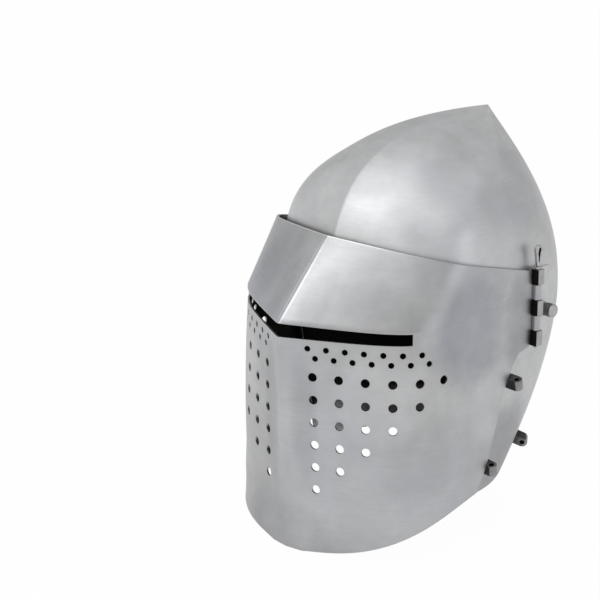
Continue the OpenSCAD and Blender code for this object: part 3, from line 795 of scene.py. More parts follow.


# Painted highlights and painted shade, and one bluer, darker patch on the visor's flank, that the photograph
# shows: the middle and reach of each in metres, and its tone
VISOR_TINTS_AND_PAINTED_LIGHT = (
    # A darker, bluer patch on the flank
    ((0.105, -0.030, 0.192), (0.06, 0.044, 0.050), (0.81, 0.815, 0.87)),
    # Painted dark reflection beside the crease below the slit
    ((0.018, -0.136, 0.118), (0.013, 0.03, 0.055), (0.87, 0.87, 0.88)),
    ((0.0, -0.140, 0.010), (0.06, 0.06, 0.035), (0.86, 0.86, 0.87)),
    ((0.048, -0.096, 0.236), (0.034, 0.032, 0.045), (0.85, 0.85, 0.86)),
    ((0.075, -0.105, 0.145), (0.036, 0.045, 0.042), (1.14, 1.14, 1.14)),
    ((0.019, -0.122, 0.216), (0.013, 0.030, 0.032), (0.88, 0.88, 0.88)),
    # Painted highlight along the upper crease
    ((0.0018, -0.120, 0.226), (0.0011, 0.080, 0.045), (1.36, 1.36, 1.38)),
    ((0.106, 0.000, 0.120), (0.040, 0.032, 0.035), (1.12, 1.12, 1.11)),
    ((0.098, -0.080, 0.078), (0.040, 0.035, 0.036), (0.90, 0.90, 0.90)),
    ((0.107, 0.028, 0.182), (0.040, 0.020, 0.040), (0.80, 0.80, 0.82)),
)
SKULL_PAINTED_LIGHT = (
    # Painted shade on the lower cheek behind the visor's rear edge
    ((0.090, 0.028, 0.050), (0.04, 0.038, 0.060), (0.70, 0.70, 0.71)),
    # Painted highlights above the brow
    ((0.020, -0.064, 0.288), (0.040, 0.034, 0.028), (1.10, 1.10, 1.10)),
    ((0.072, -0.055, 0.266), (0.032, 0.045, 0.024), (1.08, 1.08, 1.08)),
)

# Middle and reach of the painted highlight on the visor's top edge
RIM_PAINTED_HIGHLIGHT = ((0, -0.095, 0.262), (0.10, 0.10, 0.035))
# Colours of the shade painted on the plates and on the fittings
PLATE_PAINTED_SHADE, FITTING_PAINTED_SHADE = (0.034, 0.033, 0.032), (0.022, 0.021, 0.020)


def plate_steel(name, light, dull, grain, smears, satin):
    """Satin steel with fine polishing lines, cloudy patches, faint dents and cleaner edges, with painted
    highlights, painted shade and a black inside painted as shade
    """
    f = Finish(bpy.data.materials.new(name))
    place = f.node("TexCoord", out=3)
    worn, soot, edge = f.wear()
    cloud = f.noise(place, 14, detail=4, rough=0.55)
    blotch = f.noise(place, 42, detail=5, rough=0.6)
    lines = f.noise(place, 1, grain, detail=4, rough=0.65)
    fine = f.noise(place, 2.6, grain, detail=2, rough=0.5)
    swell = f.noise(place, 13, detail=1.5, rough=0.4)
    pits = f.noise(place, 900, detail=2, rough=0.5)
    patch = f.ramp(cloud * 0.6 + blotch * 0.4, 0.36, 0.66)
    base = f.mix(patch, dull, light)
    tint = f.ramp(f.noise(place, 9, detail=3, rough=0.5), 0.48, 0.68)
    base = f.mix(tint * 0.6, base, tuple(c * s for c, s in zip(light, (0.87, 0.90, 0.97))))
    base = f.mix(f.ramp(lines, 0.35, 0.72) * 0.36, base, toned(light, 0.74))
    base = f.mix(worn * f.ramp(blotch, 0.3, 0.6) * 0.25, base, toned(dull, 0.75))
    # Painted highlights and painted shade: patches made darker or lighter, and one bluer, darker patch on the
    # visor's flank
    for centre, reach, tone in smears:
        base = f.mix(f.smear(place, cloud, centre, reach), base, tone, "MULTIPLY")
    # Painted highlight along the visor's top rim
    rim = f.ramp(edge, 0.78, 1.0) * f.smear(place, cloud, *RIM_PAINTED_HIGHLIGHT)
    base = f.mix(rim * 0.5, base, toned(light, 1.5))
    # Painted shade: black where the edge value is negative
    base = f.mix(soot, base, PLATE_PAINTED_SHADE)
    rough = satin + 0.06 * patch + 0.07 * (lines - 0.5) - 0.05 * worn + 0.14 * soot
    height = lines * 0.0000055 + fine * 0.0000018 + swell * 0.0012 + pits * 0.0000012
    return f.shade(base, rough, height, 1.0, Metallic=1.0)


def fitting_steel(name, light, dull):
    """Duller forged steel with file marks, and shade painted dark on its shaded faces and in its hollows"""
    f = Finish(bpy.data.materials.new(name))
    place = f.node("TexCoord", out=3)
    worn, soot, _ = f.wear()
    cloud = f.noise(place, 130, detail=4, rough=0.6)
    file_marks = f.noise(place, 1, (300, 300, 4200), detail=3, rough=0.6)
    pits = f.noise(place, 1500, detail=2, rough=0.55)
    base = f.mix(f.ramp(cloud, 0.36, 0.66), dull, light)
    base = f.mix(worn * 0.5, base, toned(light, 1.3))
    # Painted shade: faces with negative edge values are painted dark
    base = f.mix(soot, base, FITTING_PAINTED_SHADE)
    rough = 0.38 + 0.16 * cloud - 0.08 * worn + 0.2 * soot
    height = file_marks * 0.000006 + pits * 0.000004 + cloud * 0.00006
    return f.shade(base, rough, height, 1.0, Metallic=1.0)


def cloth(name, tone, weave):
    """Plain-woven linen with uneven yarn and faint soiling"""
    f = Finish(bpy.data.materials.new(name))
    place = f.node("TexCoord", out=3)
    warp, weft = (
        f.node("TexWave", {"bands_direction": way}, place, Scale=weave, Distortion=0.6, Detail=1.0, out=1)
        for way in ("Z", "DIAGONAL")
    )
    soil = f.noise(place, 22, detail=4, rough=0.6)
    slub = f.noise(place, 1, (90, 90, 900), detail=3, rough=0.6)
    base = f.mix(f.ramp(soil, 0.35, 0.7), toned(tone, 0.86), tone)
    base = f.mix(f.ramp(slub, 0.5, 0.75) * 0.3, base, toned(tone, 0.78))
    rough = 0.9 - 0.06 * slub
    height = (warp + weft) * 0.00009 + slub * 0.0001
    return f.shade(base, rough, height, 1.0, Sheen_Weight=0.25, Sheen_Roughness=0.5)


def finish_of(name):
    """The material of that name, made on first use"""
    if name in bpy.data.materials:
        return bpy.data.materials[name]
    c = bpy.context.scene.bascinet_finishes
    steel = (tuple(c.steel), tuple(c.steel_dark))
    # The skull's steel is made lighter and the arm's darker than the plates' steel by these shares
    pale, arm = ([toned(tone, share) for tone in steel] for share in (c.skull_polish, 0.92))
    make, *values = {
        "visor_plate": (plate_steel, *steel, (45, 45, 560), VISOR_TINTS_AND_PAINTED_LIGHT, 0.37),
        "skull_plate": (plate_steel, *pale, (60, 60, 560), SKULL_PAINTED_LIGHT, 0.41),
        "arm_plate": (fitting_steel, *arm),
        "forged_fitting": (fitting_steel, tuple(c.fitting), tuple(c.fitting_dark)),
        "linen_cap": (cloth, tuple(c.linen), 300),
        "linen_thread": (cloth, tuple(c.thread), 900),
    }[name]
    return make(name, *values)


def dress(piece, finish, slot, body, *nodes):
    """Gives a finished piece its material, body and the nodes that it stands for; the slot is not used"""
    piece.data.materials.clear()
    piece.data.materials.append(finish_of(finish))
    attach(piece, body)
    if nodes:
        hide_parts(*nodes)


def scatter(name, seed, places, finish):
    """Puts a copy of the seed piece at each place (point, turn) with Geometry Nodes, as one plain mesh"""
    points = bpy.data.meshes.new(name + "_places")
    points.from_pydata([tuple(p) for p, _ in places], [], [])
    turns = points.attributes.new("turn", "FLOAT_VECTOR", "POINT")
    turns.data.foreach_set("vector", [v for _, turn in places for v in turn])
    host = add_object(name, points)

    tree = bpy.data.node_groups.new(name, "GeometryNodeTree")
    interface = tree.interface
    for socket, kind in (("Geometry", "Geometry"), ("Piece", "Object"), ("Finish", "Material")):
        interface.new_socket(socket, in_out="INPUT", socket_type="NodeSocket" + kind)
    interface.new_socket("Geometry", in_out="OUTPUT", socket_type="NodeSocketGeometry")
    inputs, outputs = (tree.nodes.new("NodeGroup" + kind) for kind in ("Input", "Output"))
    info, named, copies, realize, paint = (
        tree.nodes.new("GeometryNode" + kind)
        for kind in (
            "ObjectInfo", "InputNamedAttribute", "InstanceOnPoints", "RealizeInstances", "SetMaterial"
        )
    )
    named.data_type = "FLOAT_VECTOR"
    named.inputs["Name"].default_value = "turn"
    for giver, output, taker, entry in (
        (inputs, "Piece", info, "Object"), (inputs, "Geometry", copies, "Points"),
        (info, "Geometry", copies, "Instance"), (named, "Attribute", copies, "Rotation"),
        (copies, "Instances", realize, "Geometry"), (realize, "Geometry", paint, "Geometry"),
        (inputs, "Finish", paint, "Material"), (paint, "Geometry", outputs, "Geometry"),
    ):
        tree.links.new(giver.outputs[output], taker.inputs[entry])

    modifier = host.modifiers.new(name, "NODES")
    modifier.node_group = tree
    keys = {item.name: item.identifier for item in interface.items_tree if item.in_out == "INPUT"}
    modifier[keys["Piece"]] = seed
    modifier[keys["Finish"]] = finish_of(finish)
    graph = bpy.context.evaluated_depsgraph_get()
    made = bpy.data.meshes.new_from_object(
        host.evaluated_get(graph), preserve_all_data_layers=True, depsgraph=graph
    )
    host.modifiers.remove(modifier)
    made.name = name
    host.data = made
    bpy.data.meshes.remove(points)
    bpy.data.objects.remove(seed)
    return host


# Pieces


class BASCINET_OT_skull(bpy.types.Operator):
    """Raise the skull from its outline, with filed edges"""

    bl_idname = "bascinet.skull"
    bl_label = "Skull"

    def execute(self, context):
        k = Sizes("bascinet_skull")
        half = np.concatenate([
            [0, 0.35, 0.8, 1.4, 2.2], np.linspace(3.4, k.cheek_start, 26),
            np.linspace(k.cheek_start, k.cheek_end, 34)[1:], np.linspace(k.cheek_end, 180, 58)[1:],
        ])
        phi = np.radians(np.concatenate([half, 360 - half[-2:0:-1]]))
        rows, n, t, r = 84, len(phi), k.thickness, 0.35
        low = skull_edge(k, phi)
        share = np.sin(np.linspace(0, math.pi / 2, rows + 1))[:-1]
        outer, normals = [], []
        for s in share:
            z = low + (k.apex_z - low) * s
            outer.append(skull_point(k, phi, z))
            normals.append(skull_normal(k, phi, z))
        out, p = normals[0], outer[0].copy()
        inward = unit(np.cross(out, onward(p)))
        outer[0] = p + inward * r
        cut, turns = rounded_edge(p, out, inward, r, t)
        rings = outer[::-1] + cut + [o - m * t for o, m in zip(outer, normals)]
        shade = normals[::-1] + turns + [-m for m in normals]
        tip = np.array([0, k.apex_y, k.apex_z])
        points = np.concatenate(rings + [[tip, tip - [0, 0, TIP_SHARE * t]]])
        shades = np.concatenate(shade + [[[0, 0, 1], [0, 0, -1]]])
        drop = np.cumsum(np.linalg.norm(np.diff(np.array(outer), axis=0), axis=2), axis=0)
        worn = [np.ones(n)] + [np.exp(-d / WEAR_REACH) for d in drop]
        # Painted shade: the inside is painted black above the shade height and left plain near the neck edge
        bare = [w - (1 - w) * smooth((o[:, 2] - k.bare_z) / k.bare_fade) for w, o in zip(worn, outer)]
        edge = np.concatenate(worn[::-1] + [np.ones(n)] * 4 + bare + [[0, -1]])
        mesh = Mesh()
        mesh.add(points, shades, edge, shell_faces(len(rings), n))
        dress(mesh.build("skull_shell"), "skull_plate", "skull_steel", "skull_unit", "skull")
        return {"FINISHED"}


class BASCINET_OT_visor(bpy.types.Operator):
    """Cut, crease and roll the visor plate, with its slit, breaths and hinge knuckles"""

    bl_idname = "bascinet.visor"
    bl_label = "Visor"

    def execute(self, context):
        v, h = Sizes("bascinet_visor"), Sizes("bascinet_fittings")
        shape, spread = VisorShape(v), 260.0
        us = np.concatenate([[0.0035, 0.007, 0.0115, 0.018], np.linspace(0.027, 1, 96)])
        us = np.concatenate([-us[::-1], [0], us])
        low, top = shape.low_edge(us), shape.top_edge(us)
        grid = []
        for u, z0, z1 in zip(us, low, top):
            grid += [(u, z) for z in np.linspace(z0, shape.low, 56)]
            grid += [(u, z) for z in np.linspace(shape.low, shape.high, 6)[1:]]
            grid += [(u, z) for z in np.linspace(shape.high, z1, 20)[1:]]
        side = np.linspace(0, 1, 70)[1:-1]
        left = low[-1] + (top[-1] - low[-1]) * side
        rim = [(u, z) for u, z in zip(us, low)] + [(1.0, z) for z in left]
        rim += [(u, z) for u, z in zip(us[::-1], top[::-1])] + [(-1.0, z) for z in left[::-1]]
        holes = [shape.ring(u, z, d, 26 if d < 6 else 36) for u, z, d in shape.breaths()]
        holes.append(self.slit(shape))
        mesh = Mesh()
        across, level = np.array([1.0, 0.0]), np.array([0.0, 1.0])
        creases = [(across, 0.0), (level, shape.low), (level, shape.high)]
        plate(
            mesh, shape.point, shape.normal, rim, holes, grid, creases, v.thickness,
            rounding=0.3, spacing=2.2, stretch=(spread, 1), soot=True,
        )
        for sign in (1, -1):
            for i in (1, 3):
                self.knuckle(mesh, h, v.thickness, sign, h.hinge_z + i * (h.knuckle_h + h.knuckle_gap))
        dress(mesh.build("visor_plate_piece"), "visor_plate", "visor_steel", "visor_unit", "visor")
        return {"FINISHED"}

    def slit(self, shape):
        """Clockwise outline of the slit as u and height"""
        v = shape.v
        low_z, w = v.slit_z + v.slit_rise, v.slit_half_w
        high_z = low_z + v.slit_end_h
        corners = [
            (-w, low_z), (-w, high_z), (0, v.slit_z + v.slit_h), (w, high_z), (w, low_z), (0, v.slit_z),
        ]
        loop = []
        for (x0, z0), (x1, z1) in zip(corners, corners[1:] + corners[:1]):
            n = max(4, int(abs(x1 - x0) / 1.6))
            loop += [(x0 + (x1 - x0) * i / n, z0 + (z1 - z0) * i / n) for i in range(n)]
        return np.array([(shape.u_at(x, z) if x else 0.0, z) for x, z in loop])

    def knuckle(self, mesh, h, t, sign, z):
        """One knuckle, rolled from a strip of the plate"""
        x, y, strip = h.hinge_x, h.hinge_y, 8
        arc = np.radians(np.linspace(180, -158, 44))
        outer = arc_points(x, y, h.roll_r, h.roll_r, arc)
        bore = h.pin_d / 2 + h.run
        inner = arc_points(x, y, bore, bore, arc[::-1])
        rim = np.array([(x - h.roll_r, y - strip)] + outer + inner + [(x - h.roll_r + t - 0.35, y - strip)])
        if sign < 0:
            rim = rim * [-1, 1]
        area = np.sum(rim[:, 0] * np.roll(rim[:, 1], -1) - np.roll(rim[:, 0], -1) * rim[:, 1])
        rim = rim if area > 0 else rim[::-1]
        flat_plate(mesh, rim, [], h.knuckle_h, 0.3, Matrix.Translation((0, 0, z + h.knuckle_h)))


def mirrored(matrix):
    """The same turn and place on the other side of the helmet"""
    flip = Matrix.Diagonal((-1, 1, 1, 1)[:len(matrix)])
    return flip @ matrix @ flip


# The arm's plate, in millimetres: its end behind the hinge line, its start, its middle above the pivots,
# and how far behind its start its lower and upper edges begin to curve
ARM_BACK, ARM_START, ARM_RISE, ARM_LOW_IN, ARM_HIGH_IN = 34, 4.6, 9, 5, 12


def hinge_height(h):
    """Height of five knuckles and the gaps between them"""
    return 5 * h.knuckle_h + 4 * h.knuckle_gap


def arm_plate(mesh, h, wide_z, sign):
    """The arm's plate and three square knuckles on one side"""
    low, high, mid = h.hinge_z + 2, h.hinge_z + hinge_height(h) - 1, wide_z + ARM_RISE
    low_y, high_y = ARM_START + ARM_LOW_IN, ARM_START + ARM_HIGH_IN
    turns = np.radians(np.arange(0, 91, 5))
    lower = arc_points(low_y, mid, ARM_BACK - low_y, low - mid, turns[-2:0:-1])
    upper = [
        (high_y + (ARM_BACK - high_y) * math.sin(a), mid + (high - mid) * math.cos(a))
        for a in turns[::-1]
    ]
    rim = np.array([(ARM_START, low)] + lower + upper + [(ARM_START, high)])
    pivot = (h.pivot_y - h.hinge_y) / math.cos(math.radians(h.arm_bend))
    turn = Matrix.Rotation(math.radians(h.arm_bend), 4, "Z")
    place = Matrix.Translation((h.hinge_x - h.roll_r, h.hinge_y, 0)) @ turn @ upright(h.arm_t)
    if sign < 0:
        rim, place = rim[::-1] * [-1, 1], mirrored(place)
    flat_plate(mesh, rim, [circle(sign * pivot, wide_z, h.bolt_d / 2 + h.run)], h.arm_t, 0.35, place)
    half, bore = h.box_w / 2, h.pin_d / 2 + h.run
    for knuckle in (0, 2, 4):
        z, x = h.hinge_z + knuckle * (h.knuckle_h + h.knuckle_gap), sign * h.hinge_x
        box = [(x + i * half, h.hinge_y + j * half) for i, j in ((-1, -1), (1, -1), (1, 1), (-1, 1))]
        flat_plate(mesh, round_corners(box, 0.9), [circle(x, h.hinge_y, bore)], h.knuckle_h, 0.35,
                   Matrix.Translation((0, 0, z + h.knuckle_h)))
        root = ARM_START + 2
        tongue = np.array([(-0.2, 0), (h.arm_t - 0.2, 0), (h.arm_t, root), (0, root)])
        tall = h.knuckle_h - (1 if knuckle == 4 else 0)
        spot = Matrix.Translation((h.hinge_x - h.roll_r, h.hinge_y, z + tall)) @ turn
        if sign < 0:
            tongue, spot = tongue[::-1] * [-1, 1], mirrored(spot)
        flat_plate(mesh, tongue, [], tall, 0.3, spot)


class BASCINET_OT_hinges(bpy.types.Operator):
    """Make the hinge arms with their square knuckles, and the ringed pull-out pins"""

    bl_idname = "bascinet.hinges"
    bl_label = "Hinges"

    # Edge value of the square knuckles, painted faintly dark as shade, where 0 is plain metal and -1 is black
    GRIME = -0.09

    def execute(self, context):
        h, wide_z = Sizes("bascinet_fittings"), Sizes("bascinet_skull").wide_z
        for name, sign in (("left", 1), ("right", -1)):
            mesh = Mesh()
            arm_plate(mesh, h, wide_z, sign)
            # Painted shade: the faces that look towards the visor are painted black, the knuckles faintly
            # dark
            front, rear = h.hinge_y - h.box_w / 2 + 0.5, h.hinge_y + h.box_w / 2 + 0.4
            for i, (p, e) in enumerate(zip(mesh.points, mesh.edge)):
                shaded_edge = np.where(p[:, 1] < rear, np.minimum(e, self.GRIME), e)
                mesh.edge[i] = np.where(p[:, 1] < front, -1.0, shaded_edge)
            dress(mesh.build(name + "_arm"), "arm_plate", "fittings_steel", "visor_unit", name + "_hinge_arm")
            mesh = Mesh()
            self.pin(mesh, h, sign)
            ring = mesh.build(name + "_pin_ring")
            dress(ring, "arm_plate", "fittings_steel", name + "_pin", name + "_hinge_pin")
        return {"FINISHED"}

    def pin(self, mesh, h, sign):
        """A pin turned to a rounded tip, with a forged teardrop ring"""
        r, top = h.pin_d / 2, hinge_height(h) + 0.3
        place = Matrix.Translation((sign * h.hinge_x, h.hinge_y, h.hinge_z))
        collar = r + 0.8
        profile = [
            (0, -2.5), (r - 1, -2.5), (r - 0.6, -2.4), (r - 0.1, -1.7), (r, -1.4), (r, top),
            (collar - 0.25, top), (collar, top + 0.25), (collar, top + 1.35), (collar - 0.25, top + 1.6),
            (0, top + 1.6),
        ]
        lathe(mesh, profile, place)
        wire, wide = 2.5, h.ring_w / 2
        centre = top + 1 + h.ring_h - wide
        arc = np.radians(np.linspace(-20, 200, 34))
        inner = wide - wire / 2
        path = [(inner * math.cos(a), 0, centre + inner * math.sin(a)) for a in arc]
        foot = top + 2.4
        steps = np.linspace(0, 1, 16)[1:]
        x0, z0 = path[-1][0], path[-1][2]
        left = [(x0 * (1 - t) ** 0.8 * 0.92 - 0.35 * (t > 0.5), 0, z0 + (foot - z0) * t) for t in steps]
        left = [(min(x, -0.35), y, z) for x, y, z in left]
        right = [(-x, y, z) for x, y, z in left[::-1]]
        tube(mesh, path + left + right, 1.18, wire / 2, place @ Matrix.Rotation(math.pi / 2, 4, "Z"))


class BASCINET_OT_pivots(bpy.types.Operator):
    """Turn the drum-headed pivot bolts, and dress their washers and nuts"""

    bl_idname = "bascinet.pivots"
    bl_label = "Pivots"

    # Length and pitch of the bolt's thread in millimetres
    THREAD_L, THREAD_PITCH = 8, 0.85
    # Edge values behind the groove and in it, painted dark as shade, and on the head, a faint painted
    # highlight, where 0 is plain metal and -1 is black
    SHANK_GRIME, GROOVE_GRIME, HEAD_WEAR = -0.55, -1.0, 0.1

    def execute(self, context):
        h, wide_z = Sizes("bascinet_fittings"), Sizes("bascinet_skull").wide_z
        for name, sign in (("left", 1), ("right", -1)):
            low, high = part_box(name + "_pivot_bolt")
            tail, face = sorted((abs(low.x) / MM, abs(high.x) / MM))
            root, r, s = face - h.head_l, h.head_d / 2, h.bolt_d / 2
            profile = [(0, tail), (s - 0.6, tail), (s, tail + 0.6)]
            groove = tail + 1.2
            while groove < tail + self.THREAD_L:
                profile += [(s, groove), (s - 0.32, groove + 0.3), (s, groove + 0.6)]
                groove += self.THREAD_PITCH
            profile += [
                (s, root + 0.1), (r - 0.3, root + 0.1), (r, root + 0.4), (r, root + 4.6),
                (r - 0.25, root + 4.9), (r - 1.0, root + 5.1), (r - 1.0, root + 5.6), (r - 0.2, root + 5.9),
                (r, root + 6.2), (r, face - 1.1), (r - 0.35, face - 0.45), (r - 1.1, face - 0.1),
                (r - 2.6, face), (0, face),
            ]
            axis = Matrix.Translation((0, h.pivot_y, wide_z)) @ Matrix.Rotation(sign * math.pi / 2, 4, "Y")
            mesh = Mesh()
            lathe(mesh, profile, axis)
            # Painted shade on the shank and in the groove, and a faint painted highlight on the head
            out = abs(mesh.points[0][:, 0])
            head = np.where(out < root + 5.7, self.GROOVE_GRIME, self.HEAD_WEAR)
            mesh.edge = [np.where(out < root + 5, self.SHANK_GRIME, head)]
            bolt = mesh.build(name + "_bolt")
            dress(bolt, "arm_plate", "fittings_steel", "skull_unit", name + "_pivot_bolt")
            for part in ("washer", "nut"):
                self.soften(f"{name}_pivot_{part}", f"{name}_{part}")
        return {"FINISHED"}

    def soften(self, node, name):
        """A copy of a small packed fitting, smooth shaded, with its sharp edges left sharp"""
        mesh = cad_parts[node].data.copy()
        build = bmesh.new()
        build.from_mesh(mesh)
        bmesh.ops.remove_doubles(build, verts=build.verts, dist=1e-6)
        bmesh.ops.dissolve_limit(build, angle_limit=math.radians(1), verts=build.verts, edges=build.edges)
        for face in build.faces:
            face.smooth = True
        for edge in build.edges:
            edge.smooth = not (edge.is_manifold and edge.calc_face_angle(0) > math.radians(30))
        build.to_mesh(mesh)
        build.free()
        dress(add_object(name, mesh), "forged_fitting", "fittings_steel", "skull_unit", node)


class BASCINET_OT_studs(bpy.types.Operator):
    """Set the drilled studs for a mail curtain round the cheeks and the nape"""

    bl_idname = "bascinet.studs"
    bl_label = "Studs"

    # Angle from the front, height and turn of the hole, in degrees and millimetres
    PLACES = ((96.8, 131.7, 16), (90.9, 60.4, 12), (139, 54.8, 105), (166.3, 54.8, 105))
    # Edge values of a stud's drilled faces and of its sides, painted darker as shade, where 0 is plain metal
    # and -1 is black
    FACE_GRIME, SIDE_GRIME = -0.14, -0.62

    def execute(self, context):
        h, k = Sizes("bascinet_fittings"), Sizes("bascinet_skull")
        mesh, half, foot, end = Mesh(), h.stud_w / 2, 0.4, h.stud_l - h.stud_w / 2
        arc = np.radians(np.linspace(0, 180, 25))
        rim = [(-half, foot), (half, foot)] + arc_points(0, end, half, half, arc)
        flat_plate(mesh, rim, [circle(0, end, h.stud_hole_d / 2)], h.stud_b, 0.6, upright(h.stud_b / 2))
        low, r = -(k.thickness + 0.6), 2.5
        rivet = [
            (0, low - 1.4), (2.2, low - 1.25), (3.4, low - 0.6), (4, low), (4, low + 0.1), (r, low + 0.15),
            (r, foot + 0.2), (0, foot + 0.2),
        ]
        lathe(mesh, rivet, Matrix.Identity(4), 28)
        # Painted shade: the stud's faces and sides darker and its drilled hole black
        hole = h.stud_hole_d / 2 + 0.1
        for i, (p, e) in enumerate(zip(mesh.points, mesh.edge)):
            stud_shade = np.where(abs(p[:, 1]) < half - 0.55, self.FACE_GRIME, self.SIDE_GRIME)
            e = np.where((p[:, 2] > 0) & (p[:, 2] < end + 1.5), stud_shade, e)
            mesh.edge[i] = np.where(np.hypot(p[:, 1], p[:, 2] - end) < hole, -1.0, e)
        seed = mesh.build("stud_seed")
        places, nodes = [], []
        for side, name in ((1, "left"), (-1, "right")):
            for i, (angle, z, turn) in enumerate(self.PLACES):
                phi, z = np.array(math.radians(angle)), np.array(float(z))
                p, n = skull_point(k, phi, z), skull_normal(k, phi, z, 1.0)
                spin = Matrix.Rotation(math.atan2(n[1], n[0]), 3, "Z")
                spin = spin @ Matrix.Rotation(math.acos(n[2]), 3, "Y")
                spin = spin @ Matrix.Rotation(math.radians(turn), 3, "Z")
                if side < 0:
                    spin = mirrored(spin) @ Matrix.Rotation(math.pi, 3, "Z")
                places.append((Vector((side * p[0], p[1], p[2])) * MM, spin.to_euler()))
                nodes.append(f"{name}_vervelle_{i + 1}")
        piece = scatter("mail_studs", seed, places, "forged_fitting")
        dress(piece, "forged_fitting", "fittings_steel", "skull_unit", *nodes)
        return {"FINISHED"}


class BASCINET_OT_cap(bpy.types.Operator):
    """Quilt the linen cap inside the skull and sew its channels"""

    bl_idname = "bascinet.cap"
    bl_label = "Quilted cap"

    def low(self, c, phi):
        ahead, behind = np.maximum(0, np.cos(phi)), np.maximum(0, -np.cos(phi))
        return c.side_z + c.rise * ahead**2 - c.drop * behind**2

    def point(self, c, k, phi, share, inset):
        top = k.apex_z - TIP_SHARE * inset
        low = self.low(c, phi)
        return skull_point(k, phi, low + (top - low) * share, inset)

    def quilt(self, c, phi, share):
        """Thickness of the cap at a place: full in a channel, thin along its seams and its hem"""
        wave = np.abs(np.sin(phi * c.channels / 2))
        puff = 0.42 + 0.58 * np.sqrt(np.clip(wave, 0, 1)) * (1 - 0.25 * (1 - wave))
        pucker = 1 + 0.05 * np.sin(share * 190 + 9 * np.sin(phi * 3)) * (1 - wave) ** 2
        hem = 0.55 + 0.45 * smooth(share / 0.10)
        tip = 1 - 0.35 * smooth((share - 0.82) / 0.18)
        return c.thickness * puff * pucker * hem * tip

    def execute(self, context):
        c, k = Sizes("bascinet_cap"), Sizes("bascinet_skull")
        cols, rows = c.channels * 14, 70
        phi = np.linspace(0, 2 * math.pi, cols, endpoint=False)
        share = np.sin(np.linspace(0, math.pi / 2, rows + 1))[:-1]
        inset = k.thickness + c.gap
        outer = [self.point(c, k, phi, s, inset) for s in share]
        inner = [self.point(c, k, phi, s, inset + self.quilt(c, phi, s)) for s in share]
        middle = (outer[0] + inner[0]) / 2 - [0, 0, 0.4]
        rings = outer[::-1] + [middle] + inner
        tips = [[0, k.apex_y, k.apex_z - TIP_SHARE * inset],
                [0, k.apex_y, k.apex_z - TIP_SHARE * (inset + c.thickness)]]
        points = np.concatenate(rings + [tips]) * MM
        mesh = bpy.data.meshes.new("quilted_cap")
        mesh.from_pydata(points.tolist(), [], shell_faces(len(rings), cols))
        mesh.polygons.foreach_set("use_smooth", [True] * len(mesh.polygons))
        cap = add_object("quilted_cap", mesh)
        dress(cap, "linen_cap", "liner_linen", "skull_unit", "liner")
        self.sew(c, k, inset)
        return {"FINISHED"}

    def sew(self, c, k, inset):
        """Runs of stitches along the seams between the channels"""
        mesh = Mesh()
        half = c.stitch / 2
        arc = np.linspace(-1, 1, 9)
        lathe(mesh, [(0.42 * math.sqrt(max(0, 1 - t * t)), t * half) for t in arc], Matrix.Identity(4), 8)
        seed = mesh.build("stitch_seed")
        places = []
        for i in range(c.channels):
            phi = np.full(600, 2 * math.pi * i / c.channels)
            share = np.linspace(0.02, 0.985, 600)
            line = self.point(c, k, phi, share, inset + self.quilt(c, phi, share))
            run = travelled(line)
            stops = np.arange(c.stitch_step / 2, run[-1], c.stitch_step)
            spots = np.stack([np.interp(stops, run, line[:, axis]) for axis in range(3)], -1)
            ahead = np.stack([np.interp(stops + 1, run, line[:, axis]) for axis in range(3)], -1) - spots
            for p, d in zip(spots, ahead):
                places.append((Vector(p) * MM, Vector(d).to_track_quat("Z", "Y").to_euler()))
        piece = scatter("cap_stitches", seed, places, "linen_thread")
        dress(piece, "linen_thread", "liner_linen", "skull_unit")


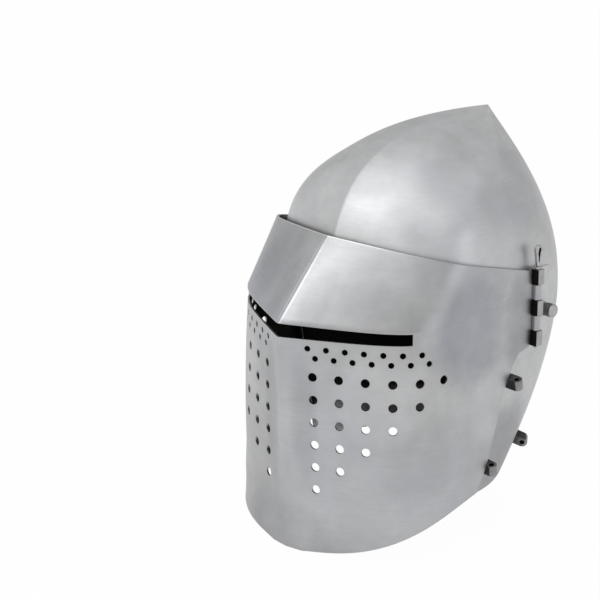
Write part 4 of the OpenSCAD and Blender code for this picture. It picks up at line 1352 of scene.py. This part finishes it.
class BASCINET_OT_stage(bpy.types.Operator):
    """Set the pale floor, the soft lights and the camera"""

    bl_idname = "bascinet.stage"
    bl_label = "Stage"

    AIM, AZIMUTH, ELEVATION, DISTANCE, FOCAL = (0.0, -0.122, 0.2125), 45.0, 18.3, 1.8669, 138.0
    FLOOR, SENSOR, LAMP_AIM = 30.0, 36.0, (0, 0, 0.18)
    # Name, place, width and power of each lamp
    LAMPS = (
        ("brow", (-0.046, -0.298, 0.489), 0.08, 0.054),
        ("sky", (0.0, 0.1, 2.2), 3.4, 5.2),
        ("left", (-1.8, -0.3, 0.9), 1.4, 0.75),
        ("front", (-0.44, -1.75, 0.8), 1.2, 2.5),
        ("upper right", (0.8, -1.1, 1.45), 2.4, 2.0),
        ("high", (-0.3, -0.6, 1.85), 1.7, 3.4),
        ("right", (1.9, 0.3, 0.7), 1.4, 2.4),
    )
    # Strength of the room, and the share of plain white that a reflection sees in the floor and in the room
    ROOM, FLOOR_SEEN, ROOM_SEEN = 0.42, 0.46, 0.17

    def execute(self, context):
        scene = context.scene
        mesh, s = bpy.data.meshes.new("floor"), self.FLOOR
        mesh.from_pydata([(-s, -s, 0), (s, -s, 0), (s, s, 0), (-s, s, 0)], [], [(0, 1, 2, 3)])
        floor = add_object("floor", mesh)
        mesh.materials.append(self.paper())
        a, e = math.radians(self.AZIMUTH), math.radians(self.ELEVATION)
        back = Vector((math.sin(a) * math.cos(e), -math.cos(a) * math.cos(e), math.sin(e)))
        data = bpy.data.cameras.new("camera")
        data.sensor_width, data.lens = self.SENSOR, self.FOCAL
        camera = add_object("camera", data)
        camera.location = Vector(self.AIM) + back * self.DISTANCE
        camera.rotation_euler = (-back).to_track_quat("-Z", "Y").to_euler()
        scene.camera = camera
        for lamp in self.LAMPS:
            self.lamp(*lamp)
        scene.world = self.world()
        scene.view_settings.view_transform = "Standard"
        return {"FINISHED"}

    def paper(self):
        """White where the camera or a reflection sees it, with the object's shadow left on it"""
        f = Finish(bpy.data.materials.new("paper"))
        tone = tuple(bpy.context.scene.bascinet_finishes.paper)
        diffuse = f.node("BsdfDiffuse", None, tone)
        glow = f.node("Emission", None, tone, 1.0)
        return f.end(f.node("MixShader", None, self.seen(f, 0.98, self.FLOOR_SEEN), diffuse, glow))

    def seen(self, f, direct, reflected):
        """That share of 1 where the camera, or a reflection, meets the surface"""
        camera = f.node("LightPath", out=0)
        return camera.math("MAXIMUM", camera * direct, f.node("LightPath", out=3) * reflected)

    def lamp(self, name, place, size, power):
        data = bpy.data.lights.new(name, "AREA")
        data.shape, data.size, data.energy = "DISK", size, power
        lamp = add_object(name, data)
        lamp.location, lamp.visible_camera = place, False
        lamp.rotation_euler = (Vector(place) - Vector(self.LAMP_AIM)).to_track_quat("Z", "Y").to_euler()

    def world(self):
        """Plain white behind the object, and a soft grey room around it"""
        f = Finish(bpy.data.worlds.new("room"))
        room, white = (f.node("Background", None, (1, 1, 1), strength) for strength in (self.ROOM, 1.0))
        shader = f.node("MixShader", None, self.seen(f, 1.0, self.ROOM_SEEN), room, white)
        return f.end(shader, "ShaderNodeOutputWorld")


class BASCINET_PT_panel(bpy.types.Panel):
    """Lists the makers of the bascinet's pieces"""

    bl_label = "Bascinet"
    bl_idname = "BASCINET_PT_panel"
    bl_space_type = "VIEW_3D"
    bl_region_type = "UI"
    bl_category = "Bascinet"

    def draw(self, context):
        for operator in OPERATORS:
            self.layout.operator(operator.bl_idname)


OPERATORS = (
    BASCINET_OT_skull,
    BASCINET_OT_visor,
    BASCINET_OT_hinges,
    BASCINET_OT_pivots,
    BASCINET_OT_studs,
    BASCINET_OT_cap,
    BASCINET_OT_stage,
)
CLASSES = (*GROUPS.values(), *OPERATORS, BASCINET_PT_panel)


def register():
    for cls in CLASSES:
        bpy.utils.register_class(cls)
    for name, group in GROUPS.items():
        setattr(bpy.types.Scene, name, PointerProperty(type=group))


def unregister():
    for name in GROUPS:
        delattr(bpy.types.Scene, name)
    for cls in reversed(CLASSES):
        bpy.utils.unregister_class(cls)


def main():
    register()
    for operator in OPERATORS:
        group, name = operator.bl_idname.split(".")
        getattr(getattr(bpy.ops, group), name)()


if __name__ == "__main__":
    main()
